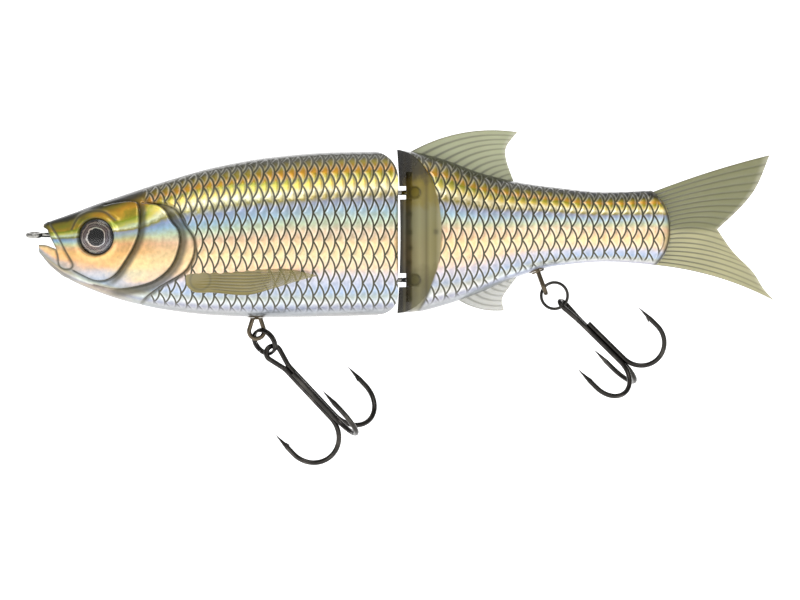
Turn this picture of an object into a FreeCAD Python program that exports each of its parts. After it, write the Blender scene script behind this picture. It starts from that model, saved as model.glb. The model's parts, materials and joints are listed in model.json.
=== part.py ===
"""Two-section glide swimbait with soft fins and two treble hooks, in millimetres.

+X runs from the nose to the tail, +Y across the body and +Z up through the back.
The origin is the centre of the line tie's eye. Each sub-part is written to parts/NODE.step.
"""

import math
import os

import FreeCAD
import Part

V = FreeCAD.Vector
X, Y, Z = V(1, 0, 0), V(0, 1, 0), V(0, 0, 1)
FAR = 60.0  # reaches past the body on any side

# Body: (x, back height, belly height, half width) from the nose to the tail.
SECTION_POWER = 2.2  # 2 is an ellipse; more is boxier
SECTION_POINTS = 24
SECTION_STEP = 4.5
WALL = 1.6
FRONT_STATIONS = [
    (1.2, 2.1, -4.3, 1.6),
    (4.0, 3.4, -7.6, 3.3),
    (8.0, 4.8, -10.6, 5.0),
    (14.0, 7.1, -13.4, 7.0),
    (22.0, 9.9, -16.1, 9.0),
    (32.0, 13.2, -18.4, 10.5),
    (44.0, 16.6, -19.8, 11.3),
    (58.0, 19.2, -20.3, 11.6),
    (74.0, 20.5, -20.1, 11.6),
    (92.0, 20.8, -19.5, 11.3),
]
REAR_STATIONS = [
    (88.0, 21.3, -19.4, 11.4),
    (94.0, 20.3, -18.9, 11.3),
    (101.0, 18.5, -17.2, 10.7),
    (109.0, 15.5, -14.4, 9.4),
    (118.0, 13.2, -10.6, 7.7),
    (129.0, 11.6, -7.5, 6.0),
    (141.0, 10.5, -6.5, 4.8),
    (150.0, 10.8, -7.0, 4.2),
    (159.0, 11.6, -8.4, 3.8),
]
FRONT_CAVITY = (22.0, 84.0)
REAR_CAVITY = (102.0, 145.0)

# Rear face of the front section
FRONT_END_X = 89.7
FRONT_END_TOP_R, FRONT_END_BOTTOM_R, FRONT_END_SIDE_R = 6.9, 5.0, 2.0
FRONT_END_TOP, FRONT_END_BOTTOM = 20.75, -19.65

# Mouth, seen from the side
MOUTH_GAP = [
    (-3.0, 8.0),
    (2.1, 8.0),
    (2.3, 1.9),
    (3.3, 1.3),
    (4.2, -0.8),
    (5.6, -3.5),
    (4.4, -3.05),
    (3.2, -2.55),
    (1.9, -2.4),
    (-3.0, -2.4),
]

# Joint between the sections: a pin in the rear section, two wire eyes in the front one
HINGE_X = 92.4
HINGE_PIN_R, HINGE_PIN_BOTTOM, HINGE_PIN_TOP = 0.75, -16.5, 15.5
EYE_HEIGHTS = {"upper": 10.4, "lower": -11.1}
WIRE_R = 0.6
RUNNING_GAP = 0.06
JOINT_EYE_R = 1.4  # centreline of the eye
JOINT_SHANK_END_X = 80.5
JOINT_ANCHOR_LENGTH = 4.4
POCKET_R, POCKET_HEIGHT = 2.5, 3.2
BOSS_R, BOSS_FRONT_X = 2.8, 77.5
WEDGE_TIP_X, WEDGE_ANGLE = 89.3, 46.0
WEDGE_HOLLOW_X, WEDGE_HOLLOW_Z, WEDGE_HOLLOW_R = 90.25, 0.4, 260.0
CHAMBER_X, CHAMBER_R, CHAMBER_BOTTOM, CHAMBER_TOP = 96.3, 2.0, -6.9, 6.7

# Line tie
TIE_EYE_R, TIE_BORE_R, TIE_ROLL = 1.55, 1.0, 8.0
TIE_SHANK_END_X, TIE_ANCHOR_LENGTH = 12.0, 4.0

# Fish eyes
EYE_X, EYE_Z, EYE_R, EYE_YAW = 15.5, -0.6, 4.4, 16.0
EYE_SURFACE_Y = 7.35
IRIS_THICKNESS, IRIS_DEPTH, LENS_HEIGHT = 0.5, 1.0, 1.7

# Ballast slugs: x start, length, centre height, radius
BALLAST = {
    "chest_ballast": (30.0, 18.0, -11.6, 3.8),
    "belly_ballast": (60.0, 16.0, -12.8, 4.5),
    "rear_ballast": (103.0, 10.0, -7.4, 3.0),
}
RIB_THICKNESS, RIB_MARGIN, RIB_TOP = 1.2, 2.5, -6.0

# Pegs that line the shells up: (x, z)
FRONT_PEGS = [(27.0, 1.0), (50.0, 6.0), (72.0, 8.0)]
REAR_PEGS = [(106.0, 5.0), (134.0, 2.0)]
PEG_BOSS_R, PEG_R, PEG_LENGTH, PEG_GAP = 1.9, 0.9, 1.8, 0.05

# Swivelling hook hangers: where the stem leaves the belly and its lean towards the tail
HANGERS = {
    "front": {"x": 54.8, "z": -20.35, "lean": 0.0, "length": 5.2},
    "rear": {"x": 124.1, "z": -8.75, "lean": 20.0, "length": 6.0},
}
BARREL_R, BARREL_LENGTH, BARREL_FLOOR = 2.2, 5.4, 1.6
STEM_HEAD_R, STEM_HEAD_LENGTH = 1.3, 1.4
HANGER_WIRE_R, HANGER_LOOP_R, HANGER_LEG_GAP = 0.55, 1.85, 0.95
FLANGE_R, FLANGE_TOP, FLANGE_BOTTOM = 1.6, -0.08, -0.5
BARREL_BLOCK_R = 3.7

# Split rings
RING_R, RING_WIRE_R, RING_STEP = 3.25, 0.37, 0.7
RING_SLIT = 0.16
LINK_GAP, HANGER_SLACK, REAR_TREBLE_SLACK = 0.16, 0.35, 0.2
FRONT_RING_SLOPE, FRONT_RING_TWIST = 52.5, 42.0
REAR_RING_SLOPE = 15.0

# Treble hooks: wire radius, overall length, distance of the points from the axis,
# slope below level, turn of the single hook about the shank
TREBLES = {
    "front": {"r": 0.63, "length": 31.3, "spread": 14.3, "slope": 46.8, "turn": 259.3},
    "rear": {"r": 0.6, "length": 28.3, "spread": 12.5, "slope": 44.6, "turn": 197.4},
}
TREBLE_EYE_R, TREBLE_EYE_LENGTH = 1.8, 6.6
TREBLE_LEG, TREBLE_POINT = 2.2, 4.1
SHANK_OVERLAP, BRAZE_GAP, BRAZE_START = 0.06, 0.02, 8.8
WELD_BULGE, WELD_STEP = 0.08, 0.04  # a bead where two runs of wire meet

# Soft fins
FIN_THICKNESS = 1.3
DORSAL_CURVES = [
    [(92.4, 20.5), (95.4, 22.2), (100.4, 23.8), (104.8, 24.9), (111.1, 25.5), (117.4, 25.6)],
    [(117.4, 25.6), (119.2, 25.3)],
    [(119.2, 25.3), (116.3, 21.8), (116.5, 18.4), (118.4, 12.9)],
    [(118.4, 12.9), (116.5, 11.3)],
    [(116.5, 11.3), (107.2, 14.2), (99.0, 17.2), (94.5, 18.8)],
    [(94.5, 18.8), (92.4, 20.5)],
]
ANAL_CURVES = [
    [(103.8, -15.8), (109.5, -18.5), (114.5, -19.0)],
    [(114.5, -19.0), (115.8, -18.6)],
    [(115.8, -18.6), (115.3, -15.6), (117.4, -12.5), (119.7, -10.2)],
    [(119.7, -10.2), (117.5, -8.8)],
    [(117.5, -8.8), (111.0, -11.8), (105.5, -14.0)],
    [(105.5, -14.0), (103.8, -15.8)],
]
PECTORAL_CURVES = [
    [(37.7, -10.3), (39.3, -8.6), (52.9, -7.6), (63.0, -8.4), (70.2, -10.0)],
    [(70.2, -10.0), (65.4, -11.3), (59.8, -13.1), (52.9, -15.0)],
    [(52.9, -15.0), (44.6, -14.4), (40.4, -14.4), (37.7, -10.3)],
]
PECTORAL_THICKNESS, PECTORAL_LEAN, PECTORAL_SPLAY = 0.9, 18.4, 4.3
PECTORAL_ROOT = (41.5, -10.0, -11.4)
PECTORAL_PEG_R, PECTORAL_PEG_LENGTH = 1.4, 2.4

# Tail: the shells end in an arc seen from the side, and the fin bends just behind it
TAIL_ARC_X, TAIL_ARC_Z, TAIL_ARC_R = 144.6, 1.3, 12.3
TAIL_END_R = 4.0
TAIL_GAP = 0.5
TAIL_THICKNESS = 1.5
TAIL_ROOT_X, TAIL_ROOT_TOP, TAIL_ROOT_BOTTOM = 147.2, 7.6, -4.2
TAIL_PEGS = [(149.6, 4.6), (149.6, -1.0)]
TAIL_PEG_R = 1.0
TAIL_BEAD_R, TAIL_BEAD_BOTTOM, TAIL_BEAD_TOP = 0.7, -2.2, 4.8
TAIL_NECK_THICKNESS = 0.9
TAIL_TOP = [(152.9, 11.1), (158.0, 13.1), (163.9, 15.3), (169.8, 17.3), (175.7, 19.0), (181.3, 19.7)]
TAIL_UPPER_LOBE = [(181.3, 19.7), (178.3, 12.4), (174.6, 7.3), (168.4, 1.4)]
TAIL_LOWER_LOBE = [(168.4, 1.4), (172.2, -4.0), (177.1, -9.0), (179.8, -13.2), (182.5, -16.2)]
TAIL_BOTTOM = [(182.5, -16.2), (176.2, -16.2), (170.7, -14.7), (160.1, -9.9), (153.9, -7.6)]

MADE = {}


def fused(shapes):
    """One shape from several that overlap."""
    whole = shapes[0]
    for shape in shapes[1:]:
        whole = whole.fuse(shape)
    return whole.removeSplitter()


def cut_all(shape, tools):
    for tool in tools:
        shape = shape.cut(tool)
    return shape


def cylinder(base, axis, radius, length):
    return Part.makeCylinder(radius, length, base, axis)


def box(low, high):
    return Part.makeBox(high[0] - low[0], high[1] - low[1], high[2] - low[2], V(*low))


def curve(points):
    """An edge through the points: a line through two, a smooth spline through more."""
    if len(points) == 2:
        return Part.LineSegment(*points).toShape()
    spline = Part.BSplineCurve()
    spline.interpolate(points)
    return spline.toShape()


def side_prism(curves, half_width):
    """A solid whose outline, seen from the side, is made of these runs of (x, z) points."""
    edges = [curve([V(x, -half_width, z) for x, z in run]) for run in curves]
    return Part.Face(Part.Wire(edges)).extrude(Y * (2 * half_width))


def polygon_prism(points, half_width):
    closed = points + points[:1]
    return side_prism([list(pair) for pair in zip(closed, closed[1:])], half_width)


def turned(shape, angle, axis=Y, about=V()):
    out = shape.copy()
    out.rotate(about, axis, angle)
    return out


def moved(shape, by):
    out = shape.copy()
    out.translate(by)
    return out


def mirrored(shape):
    return shape.mirror(V(), Y)


def placed(shape, origin, x_axis, y_axis, z_axis):
    """The shape carried from its own axes to these, which are at right angles."""
    matrix = FreeCAD.Matrix(
        x_axis.x, y_axis.x, z_axis.x, origin.x,
        x_axis.y, y_axis.y, z_axis.y, origin.y,
        x_axis.z, y_axis.z, z_axis.z, origin.z,
        0, 0, 0, 1,
    )  # fmt: skip
    out = shape.copy()
    out.Placement = FreeCAD.Placement(matrix).multiply(out.Placement)
    return out


def downwards(slope):
    """The direction that falls towards the tail at this many degrees below level."""
    return V(math.cos(math.radians(slope)), 0, -math.sin(math.radians(slope)))


def swept(edges, radius):
    """Round wire of this radius along a smooth path."""
    path = Part.Wire(edges)
    start = edges[0].valueAt(edges[0].FirstParameter)
    tangent = edges[0].tangentAt(edges[0].FirstParameter)
    profile = Part.Wire([Part.makeCircle(radius, start, tangent)])
    return path.makePipeShell([profile], True, True)


def section(x, top, bottom, half_width, inset=0.0):
    """The closed outline of the body at x, starting at the belly."""
    centre, height = (top + bottom) / 2, (top - bottom) / 2 - inset
    width, power = half_width - inset, 2 / SECTION_POWER
    points = []
    for i in range(SECTION_POINTS):
        angle = 2 * math.pi * i / SECTION_POINTS
        s, c = math.sin(angle), math.cos(angle)
        y = width * math.copysign(abs(s) ** power, s)
        points.append(V(x, y, centre - height * math.copysign(abs(c) ** power, c)))
    spline = Part.BSplineCurve()
    spline.interpolate(points, PeriodicFlag=True)
    return Part.Wire([spline.toShape()])


def slopes(xs, ys):
    """The slope at each point for a smooth curve that doesn't overshoot between points."""
    steps = [(y1 - y0) / (x1 - x0) for x0, x1, y0, y1 in zip(xs, xs[1:], ys, ys[1:])]
    inner = []
    for before, after in zip(steps, steps[1:]):
        turns_back = before * after <= 0
        inner.append(0.0 if turns_back else 2 * before * after / (before + after))
    return [steps[0], *inner, steps[-1]]


def smooth_value(xs, ys, tilts, x):
    """The height at x of the smooth curve through the points."""
    i = max(k for k in range(len(xs) - 1) if xs[k] <= x)
    span = xs[i + 1] - xs[i]
    t = (x - xs[i]) / span
    rise = ys[i + 1] - ys[i]
    ease = t * t * (3 - 2 * t)
    return ys[i] + rise * ease + span * t * (1 - t) * ((1 - t) * tilts[i] - t * tilts[i + 1])


def body_loft(stations, start, end, inset=0.0):
    """A solid through the stations from start to end, drawn in from the skin by the inset."""
    xs, *columns = zip(*stations)
    curves = [(column, slopes(xs, column)) for column in columns]
    count = round((end - start) / SECTION_STEP)
    sections = []
    for i in range(count + 1):
        x = start + (end - start) * i / count
        sizes = [smooth_value(xs, column, tilts, x) for column, tilts in curves]
        sections.append(section(x, *sizes, inset))
    return Part.makeLoft(sections, True)


def front_outer():
    """The front section as one solid, with its mouth open."""
    top, bottom, end = FRONT_END_TOP, FRONT_END_BOTTOM, FRONT_END_X
    slab = box((-5, -FAR, bottom), (end, FAR, top))
    slab = slab.fuse(box((-5, -FAR, -FAR), (end - 2 * FRONT_END_TOP_R, FAR, FAR)))
    corners = []
    for z, radius, side in ((top, FRONT_END_TOP_R, -1), (bottom, FRONT_END_BOTTOM_R, 1)):
        low, high = sorted((z, z + side * radius))
        corner = box((end - radius, -FAR, low - 0.5), (end + 1, FAR, high + 0.5))
        corner = corner.common(box((end - radius, -FAR, low), (end + 1, FAR, high)))
        centre = V(end - radius, -FAR, z + side * radius)
        corners.append(corner.cut(cylinder(centre, Y, radius, 2 * FAR)))
    plan = box((-5, -FAR, -FAR), (end - FRONT_END_SIDE_R, FAR, FAR))
    half = FRONT_STATIONS[-1][3] - FRONT_END_SIDE_R
    plan = plan.fuse(box((0, -half, -FAR), (end, half, FAR)))
    for y in (-half, half):
        plan = plan.fuse(cylinder(V(end - FRONT_END_SIDE_R, y, -FAR), Z, FRONT_END_SIDE_R, 2 * FAR))
    first, last = FRONT_STATIONS[0][0], FRONT_STATIONS[-1][0]
    solid = body_loft(FRONT_STATIONS, first, last).common(slab).common(plan)
    return cut_all(solid, corners + [polygon_prism(MOUTH_GAP, FAR)])


def wedge():
    """The plan shape of the rear section's leading end, as a tall prism."""
    wide_x = WEDGE_TIP_X + FAR * math.tan(math.radians(WEDGE_ANGLE))
    corners = [
        V(WEDGE_TIP_X, 0, -FAR),
        V(wide_x, -FAR, -FAR),
        V(300, -FAR, -FAR),
        V(300, FAR, -FAR),
        V(wide_x, FAR, -FAR),
    ]
    outline = Part.makePolygon(corners + corners[:1])
    return Part.Face(outline).extrude(Z * (2 * FAR))


def rear_outer():
    """The rear section as one solid."""
    hollow_centre = V(WEDGE_HOLLOW_X - WEDGE_HOLLOW_R, -FAR, WEDGE_HOLLOW_Z)
    leading_curve = cylinder(hollow_centre, Y, WEDGE_HOLLOW_R, 2 * FAR)
    first, last = REAR_STATIONS[0][0], REAR_STATIONS[-1][0]
    solid = body_loft(REAR_STATIONS, first, last).common(wedge()).cut(leading_curve)
    ahead = box((80, -FAR, -FAR), (TAIL_ARC_X, FAR, FAR))
    side_end = cylinder(V(TAIL_ARC_X, -FAR, TAIL_ARC_Z), Y, TAIL_ARC_R, 2 * FAR).fuse(ahead)
    plan_x = TAIL_ARC_X + TAIL_ARC_R - TAIL_END_R
    ahead = box((80, -FAR, -FAR), (plan_x, FAR, FAR))
    end = cylinder(V(plan_x, 0, -FAR), Z, TAIL_END_R, 2 * FAR).fuse(ahead)
    return solid.common(side_end).common(end)


def pegs_across(pegs):
    return [cylinder(V(x, -FAR, z), Y, PEG_BOSS_R, 2 * FAR) for x, z in pegs]


def ribs(names):
    """Walls across a cavity that carry the ballast slugs."""
    made = []
    for name in names:
        start, length, centre, _ = BALLAST[name]
        for x in (start + RIB_MARGIN, start + length - RIB_MARGIN - RIB_THICKNESS):
            made.append(box((x, -FAR, -FAR), (x + RIB_THICKNESS, FAR, max(centre, RIB_TOP))))
    return made


def make_shells(prefix, outer, hollow, fillings, tools, pegs):
    """The two half shells of a section, joined on the middle plane, with pegs and sockets."""
    body = outer.cut(cut_all(hollow, fillings + pegs_across(pegs)))
    left = cut_all(body.common(box((-20, -FAR, -FAR), (300, 0, FAR))), tools)
    right = cut_all(body.common(box((-20, 0, -FAR), (300, FAR, FAR))), tools)
    for x, z in pegs:
        left = left.fuse(cylinder(V(x, -0.5, z), Y, PEG_R, PEG_LENGTH + 0.5))
        right = right.cut(cylinder(V(x, 0, z), Y, PEG_R + PEG_GAP, PEG_LENGTH + 0.3))
    MADE[prefix + "_shell_left"] = left
    MADE[prefix + "_shell_right"] = right


def line_tie():
    """A closed wire eye with a coined inner land, on a shank bent down in the nose."""
    eye = Part.makeTorus(TIE_EYE_R, WIRE_R, V(), Z)
    shank = cylinder(V(TIE_EYE_R, 0, 0), X, WIRE_R, TIE_SHANK_END_X - TIE_EYE_R)
    elbow = Part.makeSphere(WIRE_R, V(TIE_SHANK_END_X, 0, 0))
    anchor = cylinder(V(TIE_SHANK_END_X, 0, 0), -Z, WIRE_R, TIE_ANCHOR_LENGTH)
    tie = fused([eye, shank]).cut(cylinder(V(0, 0, -5), Z, TIE_BORE_R, 10))
    return fused([turned(tie, TIE_ROLL, X), elbow, anchor])


def joint_eye(height):
    """A wire eye round the hinge pin, with a cross anchor in the front section."""
    eye = Part.makeTorus(JOINT_EYE_R, WIRE_R, V(HINGE_X, 0, height), Z)
    shank_length = HINGE_X - JOINT_EYE_R - JOINT_SHANK_END_X
    shank = cylinder(V(JOINT_SHANK_END_X, 0, height), X, WIRE_R, shank_length)
    low = V(JOINT_SHANK_END_X, 0, height - JOINT_ANCHOR_LENGTH / 2)
    anchor = cylinder(low, Z, WIRE_R, JOINT_ANCHOR_LENGTH)
    bore = cylinder(V(HINGE_X, 0, height - 5), Z, HINGE_PIN_R + RUNNING_GAP, 10)
    return fused([eye, shank, anchor]).cut(bore)


def ballast(name):
    start, length, centre, radius = BALLAST[name]
    return cylinder(V(start, 0, centre), X, radius, length)


def teardrop(radius, length, leg_gap):
    """A loop in the XZ plane from legs at z 0. Its far centreline point is at z -length."""
    centre = V(0, 0, radius - length)
    start = V(leg_gap, 0, 0)
    reach = start - centre
    turn = math.acos(radius / reach.Length) + math.atan2(reach.x, reach.z)
    touch = centre + V(math.sin(turn), 0, math.cos(turn)) * radius
    other_touch, other_start = V(-touch.x, 0, touch.z), V(-start.x, 0, start.z)
    return [
        Part.LineSegment(start, touch).toShape(),
        Part.Arc(touch, V(0, 0, -length), other_touch).toShape(),
        Part.LineSegment(other_touch, other_start).toShape(),
    ]


def hanger_axes(hanger):
    """(origin, along, across): where the stem leaves the belly, the way it points, and across it."""
    lean = math.radians(hanger["lean"])
    along = V(math.sin(lean), 0, -math.cos(lean))
    return V(hanger["x"], 0, hanger["z"]), along, V(math.cos(lean), 0, math.sin(lean))


def make_hanger(name):
    """A barrel set in the belly, and the eye that turns in it. Returns the barrel's seat."""
    hanger = HANGERS[name]
    origin, along, across = hanger_axes(hanger)
    up = along * -1
    room = cylinder(V(0, 0, BARREL_FLOOR), Z, STEM_HEAD_R + RUNNING_GAP, STEM_HEAD_LENGTH + 0.2)
    neck = cylinder(V(0, 0, -1), Z, HANGER_WIRE_R + RUNNING_GAP, BARREL_FLOOR + 1.5)
    barrel = cut_all(cylinder(V(), Z, BARREL_R, BARREL_LENGTH), [room, neck])
    head = cylinder(V(0, 0, BARREL_FLOOR + 0.1), Z, STEM_HEAD_R, STEM_HEAD_LENGTH)
    stem = cylinder(Z * FLANGE_BOTTOM / 2, Z, HANGER_WIRE_R, BARREL_FLOOR + 1.0)
    flange = cylinder(Z * FLANGE_BOTTOM, Z, FLANGE_R, FLANGE_TOP - FLANGE_BOTTOM)
    legs = FLANGE_BOTTOM / 2
    loop = teardrop(HANGER_LOOP_R, hanger["length"] + legs, HANGER_LEG_GAP)
    eye = fused([moved(swept(loop, HANGER_WIRE_R), Z * legs), flange, stem, head])
    side = Y if name == "front" else across * -1
    forward = side.cross(up)
    MADE[name + "_hanger_barrel"] = placed(barrel, origin, forward, side, up)
    MADE[name + "_hanger_eye"] = placed(eye, origin, forward, side, up)
    seat = cylinder(origin - up * 3, up, BARREL_R, BARREL_LENGTH + 3)
    return cylinder(origin - up * 3, up, BARREL_BLOCK_R, BARREL_LENGTH + 5), seat


def hanger_bottom(name):
    """Centre of the wire at the hanger loop's far end."""
    origin, along, _ = hanger_axes(HANGERS[name])
    return origin + along * HANGERS[name]["length"]


def split_ring():
    """Two close turns of wire round Z, each cut once."""
    turns = []
    for side in (-1, 1):
        z = side * RING_STEP / 2
        turn = Part.makeTorus(RING_R, RING_WIRE_R, V(0, 0, z), Z)
        slit = box((RING_R - 1, -RING_SLIT / 2, 0), (RING_R + 1, RING_SLIT / 2, 1))
        slit = moved(slit, V(0, 0, 0.03 if side > 0 else -1.03))
        turns.append(turn.cut(turned(slit, 90 + 20 * side, Z)))
    return fused(turns)


def hook(wire_r, top, bend_z, spread):
    """A hook in the XZ plane: shank down the Z axis, round bend, leg, needle point and barb."""
    leg_end = V(spread, 0, bend_z - TREBLE_LEG)
    low = V(spread / 2, 0, bend_z + spread / 2)
    path = [
        Part.LineSegment(V(0, 0, top), V(0, 0, bend_z)).toShape(),
        Part.Arc(V(0, 0, bend_z), low, V(spread, 0, bend_z)).toShape(),
        Part.LineSegment(V(spread, 0, bend_z), leg_end).toShape(),
    ]
    point = Part.makeCone(wire_r, 0.05, TREBLE_POINT, leg_end, -Z)
    barb_root = leg_end + V(-wire_r * 0.45, 0, -0.9)
    barb = Part.makeCone(0.34, 0.05, 1.3, barb_root, V(-0.5, 0, 0.87))
    return fused([swept(path, wire_r), point, barb])


def make_treble(name, eye_top):
    """A double hook bent from one wire with its eye, and a single hook brazed to its shanks.

    In their own axes the shanks run along +Z from the eye's top, the eye lies in the XZ plane
    and the single hook opens towards +Y.
    """
    size = TREBLES[name]
    wire_r = size["r"]
    side = wire_r - SHANK_OVERLAP / 2
    spread = size["spread"] - side
    bend_z = size["length"] - 2 * wire_r - spread / 2
    eye = swept(teardrop(TREBLE_EYE_R, TREBLE_EYE_LENGTH, side), wire_r)
    pair = [moved(eye, Z * TREBLE_EYE_LENGTH)]
    for way, turn in ((1, -30), (-1, -150)):
        shank = V(way * side, 0, 0)
        pair.append(Part.makeSphere(wire_r + WELD_BULGE, shank + Z * TREBLE_EYE_LENGTH))
        flat = hook(wire_r, TREBLE_EYE_LENGTH + WELD_STEP, bend_z, spread)
        pair.append(moved(turned(flat, turn, Z), shank))
    single_y = math.sqrt((2 * wire_r + BRAZE_GAP) ** 2 - side**2)
    single = turned(hook(wire_r, BRAZE_START, bend_z, spread), 90, Z)
    along = downwards(size["slope"])
    forward_down = V(along.z, 0, -along.x)
    turn = math.radians(size["turn"])
    out = forward_down * math.cos(turn) + Y * math.sin(turn)
    axes = (out.cross(along), out, along)
    MADE[name + "_treble_double_hook"] = placed(fused(pair), eye_top, *axes)
    MADE[name + "_treble_single_hook"] = placed(moved(single, Y * single_y), eye_top, *axes)


def make_front_train():
    """Ring and treble under the front hanger. The ring lies aslant across the hanger's loop."""
    size = TREBLES["front"]
    ring_reach = RING_STEP / 2 + RING_WIRE_R + LINK_GAP
    along = downwards(FRONT_RING_SLOPE)
    twist = math.radians(FRONT_RING_TWIST)
    rise = V(-along.z, 0, along.x)
    axis = Y * math.cos(twist) - rise * math.sin(twist)
    hinge = hanger_bottom("front") + Z * (ring_reach + HANGER_WIRE_R + HANGER_SLACK)
    centre = hinge + along * RING_R
    MADE["front_split_ring"] = placed(split_ring(), centre, along, axis, along.cross(axis))
    far_hinge = centre + along * RING_R
    make_treble("front", far_hinge - downwards(size["slope"]) * (ring_reach + size["r"]))
    return {"front_ring_swing": (hinge, axis), "front_treble_swing": (far_hinge, axis)}


def make_rear_train():
    """Ring and treble under the rear hanger. The ring lies in the middle plane."""
    hinge = hanger_bottom("rear")
    inside = RING_R - RING_WIRE_R - LINK_GAP
    along = downwards(REAR_RING_SLOPE)
    centre = hinge + along * (inside - HANGER_WIRE_R)
    MADE["rear_split_ring"] = placed(split_ring(), centre, along, Y.cross(along), Y)
    size = TREBLES["rear"]
    reach = inside - size["r"] - REAR_TREBLE_SLACK
    far_hinge = centre + downwards(size["slope"]) * reach
    make_treble("rear", far_hinge)
    return {"rear_ring_swing": (hinge, Y), "rear_treble_swing": (far_hinge, Y)}


def make_fish_eye(side, y_sign):
    """A foil iris disc and a clear domed lens in one flank. Returns the socket."""
    yaw = math.radians(EYE_YAW)
    out = V(-math.sin(yaw), y_sign * math.cos(yaw), 0)
    surface = V(EYE_X, y_sign * EYE_SURFACE_Y, EYE_Z)
    floor = surface - out * IRIS_DEPTH
    iris = cylinder(floor, out, EYE_R, IRIS_THICKNESS)
    rim = floor + out * IRIS_THICKNESS
    dome_r = (EYE_R**2 + LENS_HEIGHT**2) / (2 * LENS_HEIGHT)
    dome = Part.makeSphere(dome_r, rim + out * (LENS_HEIGHT - dome_r))
    MADE["eye_iris_" + side] = iris
    MADE["eye_lens_" + side] = dome.common(cylinder(rim, out, EYE_R, 2 * LENS_HEIGHT))
    return cylinder(floor, out, EYE_R, 8)


def pectoral_fin(outer):
    """The left fin: a thin blade that stands off the flank towards its tip, on a round peg.

    Returns the fin and the peg's seat.
    """
    root = V(*PECTORAL_ROOT)
    half = PECTORAL_THICKNESS / 2
    blade = moved(side_prism(PECTORAL_CURVES, half), V(-root.x, 0, -root.z))
    peg = cylinder(V(), Y, PECTORAL_PEG_R, PECTORAL_PEG_LENGTH)
    blade, peg = (turned(turned(s, -PECTORAL_LEAN, X), -PECTORAL_SPLAY, Z) for s in (blade, peg))
    seat = V(root.x, root.y - half, root.z)
    blade, peg = moved(blade, seat), moved(peg, seat)
    return blade.cut(outer).fuse(peg).removeSplitter(), peg


def tail_shapes():
    """The captive root of the soft tail, the fin behind it, and the seat of the fin's bead.

    The bead stands where the soft tail bends, on the rearmost line of the shells.
    """
    half = TAIL_THICKNESS / 2
    axis_x, bead_length = TAIL_ARC_X + TAIL_ARC_R, TAIL_BEAD_TOP - TAIL_BEAD_BOTTOM
    low = V(axis_x, 0, TAIL_BEAD_BOTTOM)
    seat = cylinder(low - Z * RUNNING_GAP, Z, TAIL_BEAD_R + RUNNING_GAP, bead_length + 2 * RUNNING_GAP)
    inside = cylinder(V(TAIL_ARC_X, -FAR, TAIL_ARC_Z), Y, TAIL_ARC_R - 0.05, 2 * FAR)
    root = box((TAIL_ROOT_X, -half, TAIL_ROOT_BOTTOM), (170, half, TAIL_ROOT_TOP)).common(inside)
    holes = [cylinder(V(x, -5, z), Y, TAIL_PEG_R, 10) for x, z in TAIL_PEGS]
    front = [(150.0, -6.0), (150.0, 9.0)]
    outline = [TAIL_TOP, TAIL_UPPER_LOBE, TAIL_LOWER_LOBE, TAIL_BOTTOM]
    outline += [[TAIL_BOTTOM[-1], front[0]], front, [front[1], TAIL_TOP[0]]]
    clear = cylinder(V(TAIL_ARC_X, -FAR, TAIL_ARC_Z), Y, TAIL_ARC_R + TAIL_GAP, 2 * FAR)
    blade = side_prism(outline, half).cut(clear)
    bead = cylinder(low, Z, TAIL_BEAD_R, bead_length)
    neck_half = TAIL_NECK_THICKNESS / 2
    neck = box((axis_x, -neck_half, low.z), (axis_x + 2, neck_half, low.z + bead_length))
    return cut_all(root, holes + [seat]), fused([blade, neck, bead]), seat


def make_front(barrel_block, barrel_seat):
    outer = front_outer()
    hollow = body_loft(FRONT_STATIONS, *FRONT_CAVITY, WALL)
    slugs = ["chest_ballast", "belly_ballast"]
    MADE["line_tie"] = line_tie()
    MADE["pectoral_fin_left"], peg_seat = pectoral_fin(outer)
    MADE["pectoral_fin_right"] = mirrored(MADE["pectoral_fin_left"])
    for name in slugs:
        MADE[name] = ballast(name)
    fillings = [barrel_block] + ribs(slugs)
    for name, height in EYE_HEIGHTS.items():
        MADE["joint_eye_" + name] = joint_eye(height)
        fillings.append(cylinder(V(BOSS_FRONT_X, 0, height), X, BOSS_R, 10))
    cut_by = slugs + ["line_tie", "joint_eye_upper", "joint_eye_lower"]
    tools = [MADE[name] for name in cut_by] + [peg_seat, mirrored(peg_seat), barrel_seat]
    tools += [make_fish_eye("left", -1), make_fish_eye("right", 1)]
    make_shells("front", outer, hollow, fillings, tools, FRONT_PEGS)


def make_rear(barrel_block, barrel_seat):
    hollow = body_loft(REAR_STATIONS, *REAR_CAVITY, WALL)
    pin_length = HINGE_PIN_TOP - HINGE_PIN_BOTTOM
    MADE["rear_ballast"] = ballast("rear_ballast")
    MADE["hinge_pin"] = cylinder(V(HINGE_X, 0, HINGE_PIN_BOTTOM), Z, HINGE_PIN_R, pin_length)
    MADE["dorsal_fin"] = side_prism(DORSAL_CURVES, FIN_THICKNESS / 2)
    MADE["anal_fin"] = side_prism(ANAL_CURVES, FIN_THICKNESS / 2)
    MADE["tail_root"], MADE["tail_fin"], bead_seat = tail_shapes()
    cut_by = ["rear_ballast", "hinge_pin", "dorsal_fin", "anal_fin", "tail_root"]
    tools = [MADE[name] for name in cut_by] + [barrel_seat, bead_seat]
    for height in EYE_HEIGHTS.values():
        low = V(HINGE_X, 0, height - POCKET_HEIGHT / 2)
        tools.append(cylinder(low, Z, POCKET_R, POCKET_HEIGHT))
    chamber_length = CHAMBER_TOP - CHAMBER_BOTTOM
    tools.append(cylinder(V(CHAMBER_X, 0, CHAMBER_BOTTOM), Z, CHAMBER_R, chamber_length))
    fillings = [barrel_block] + ribs(["rear_ballast"])
    make_shells("rear", rear_outer(), hollow, fillings, tools, REAR_PEGS)


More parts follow.
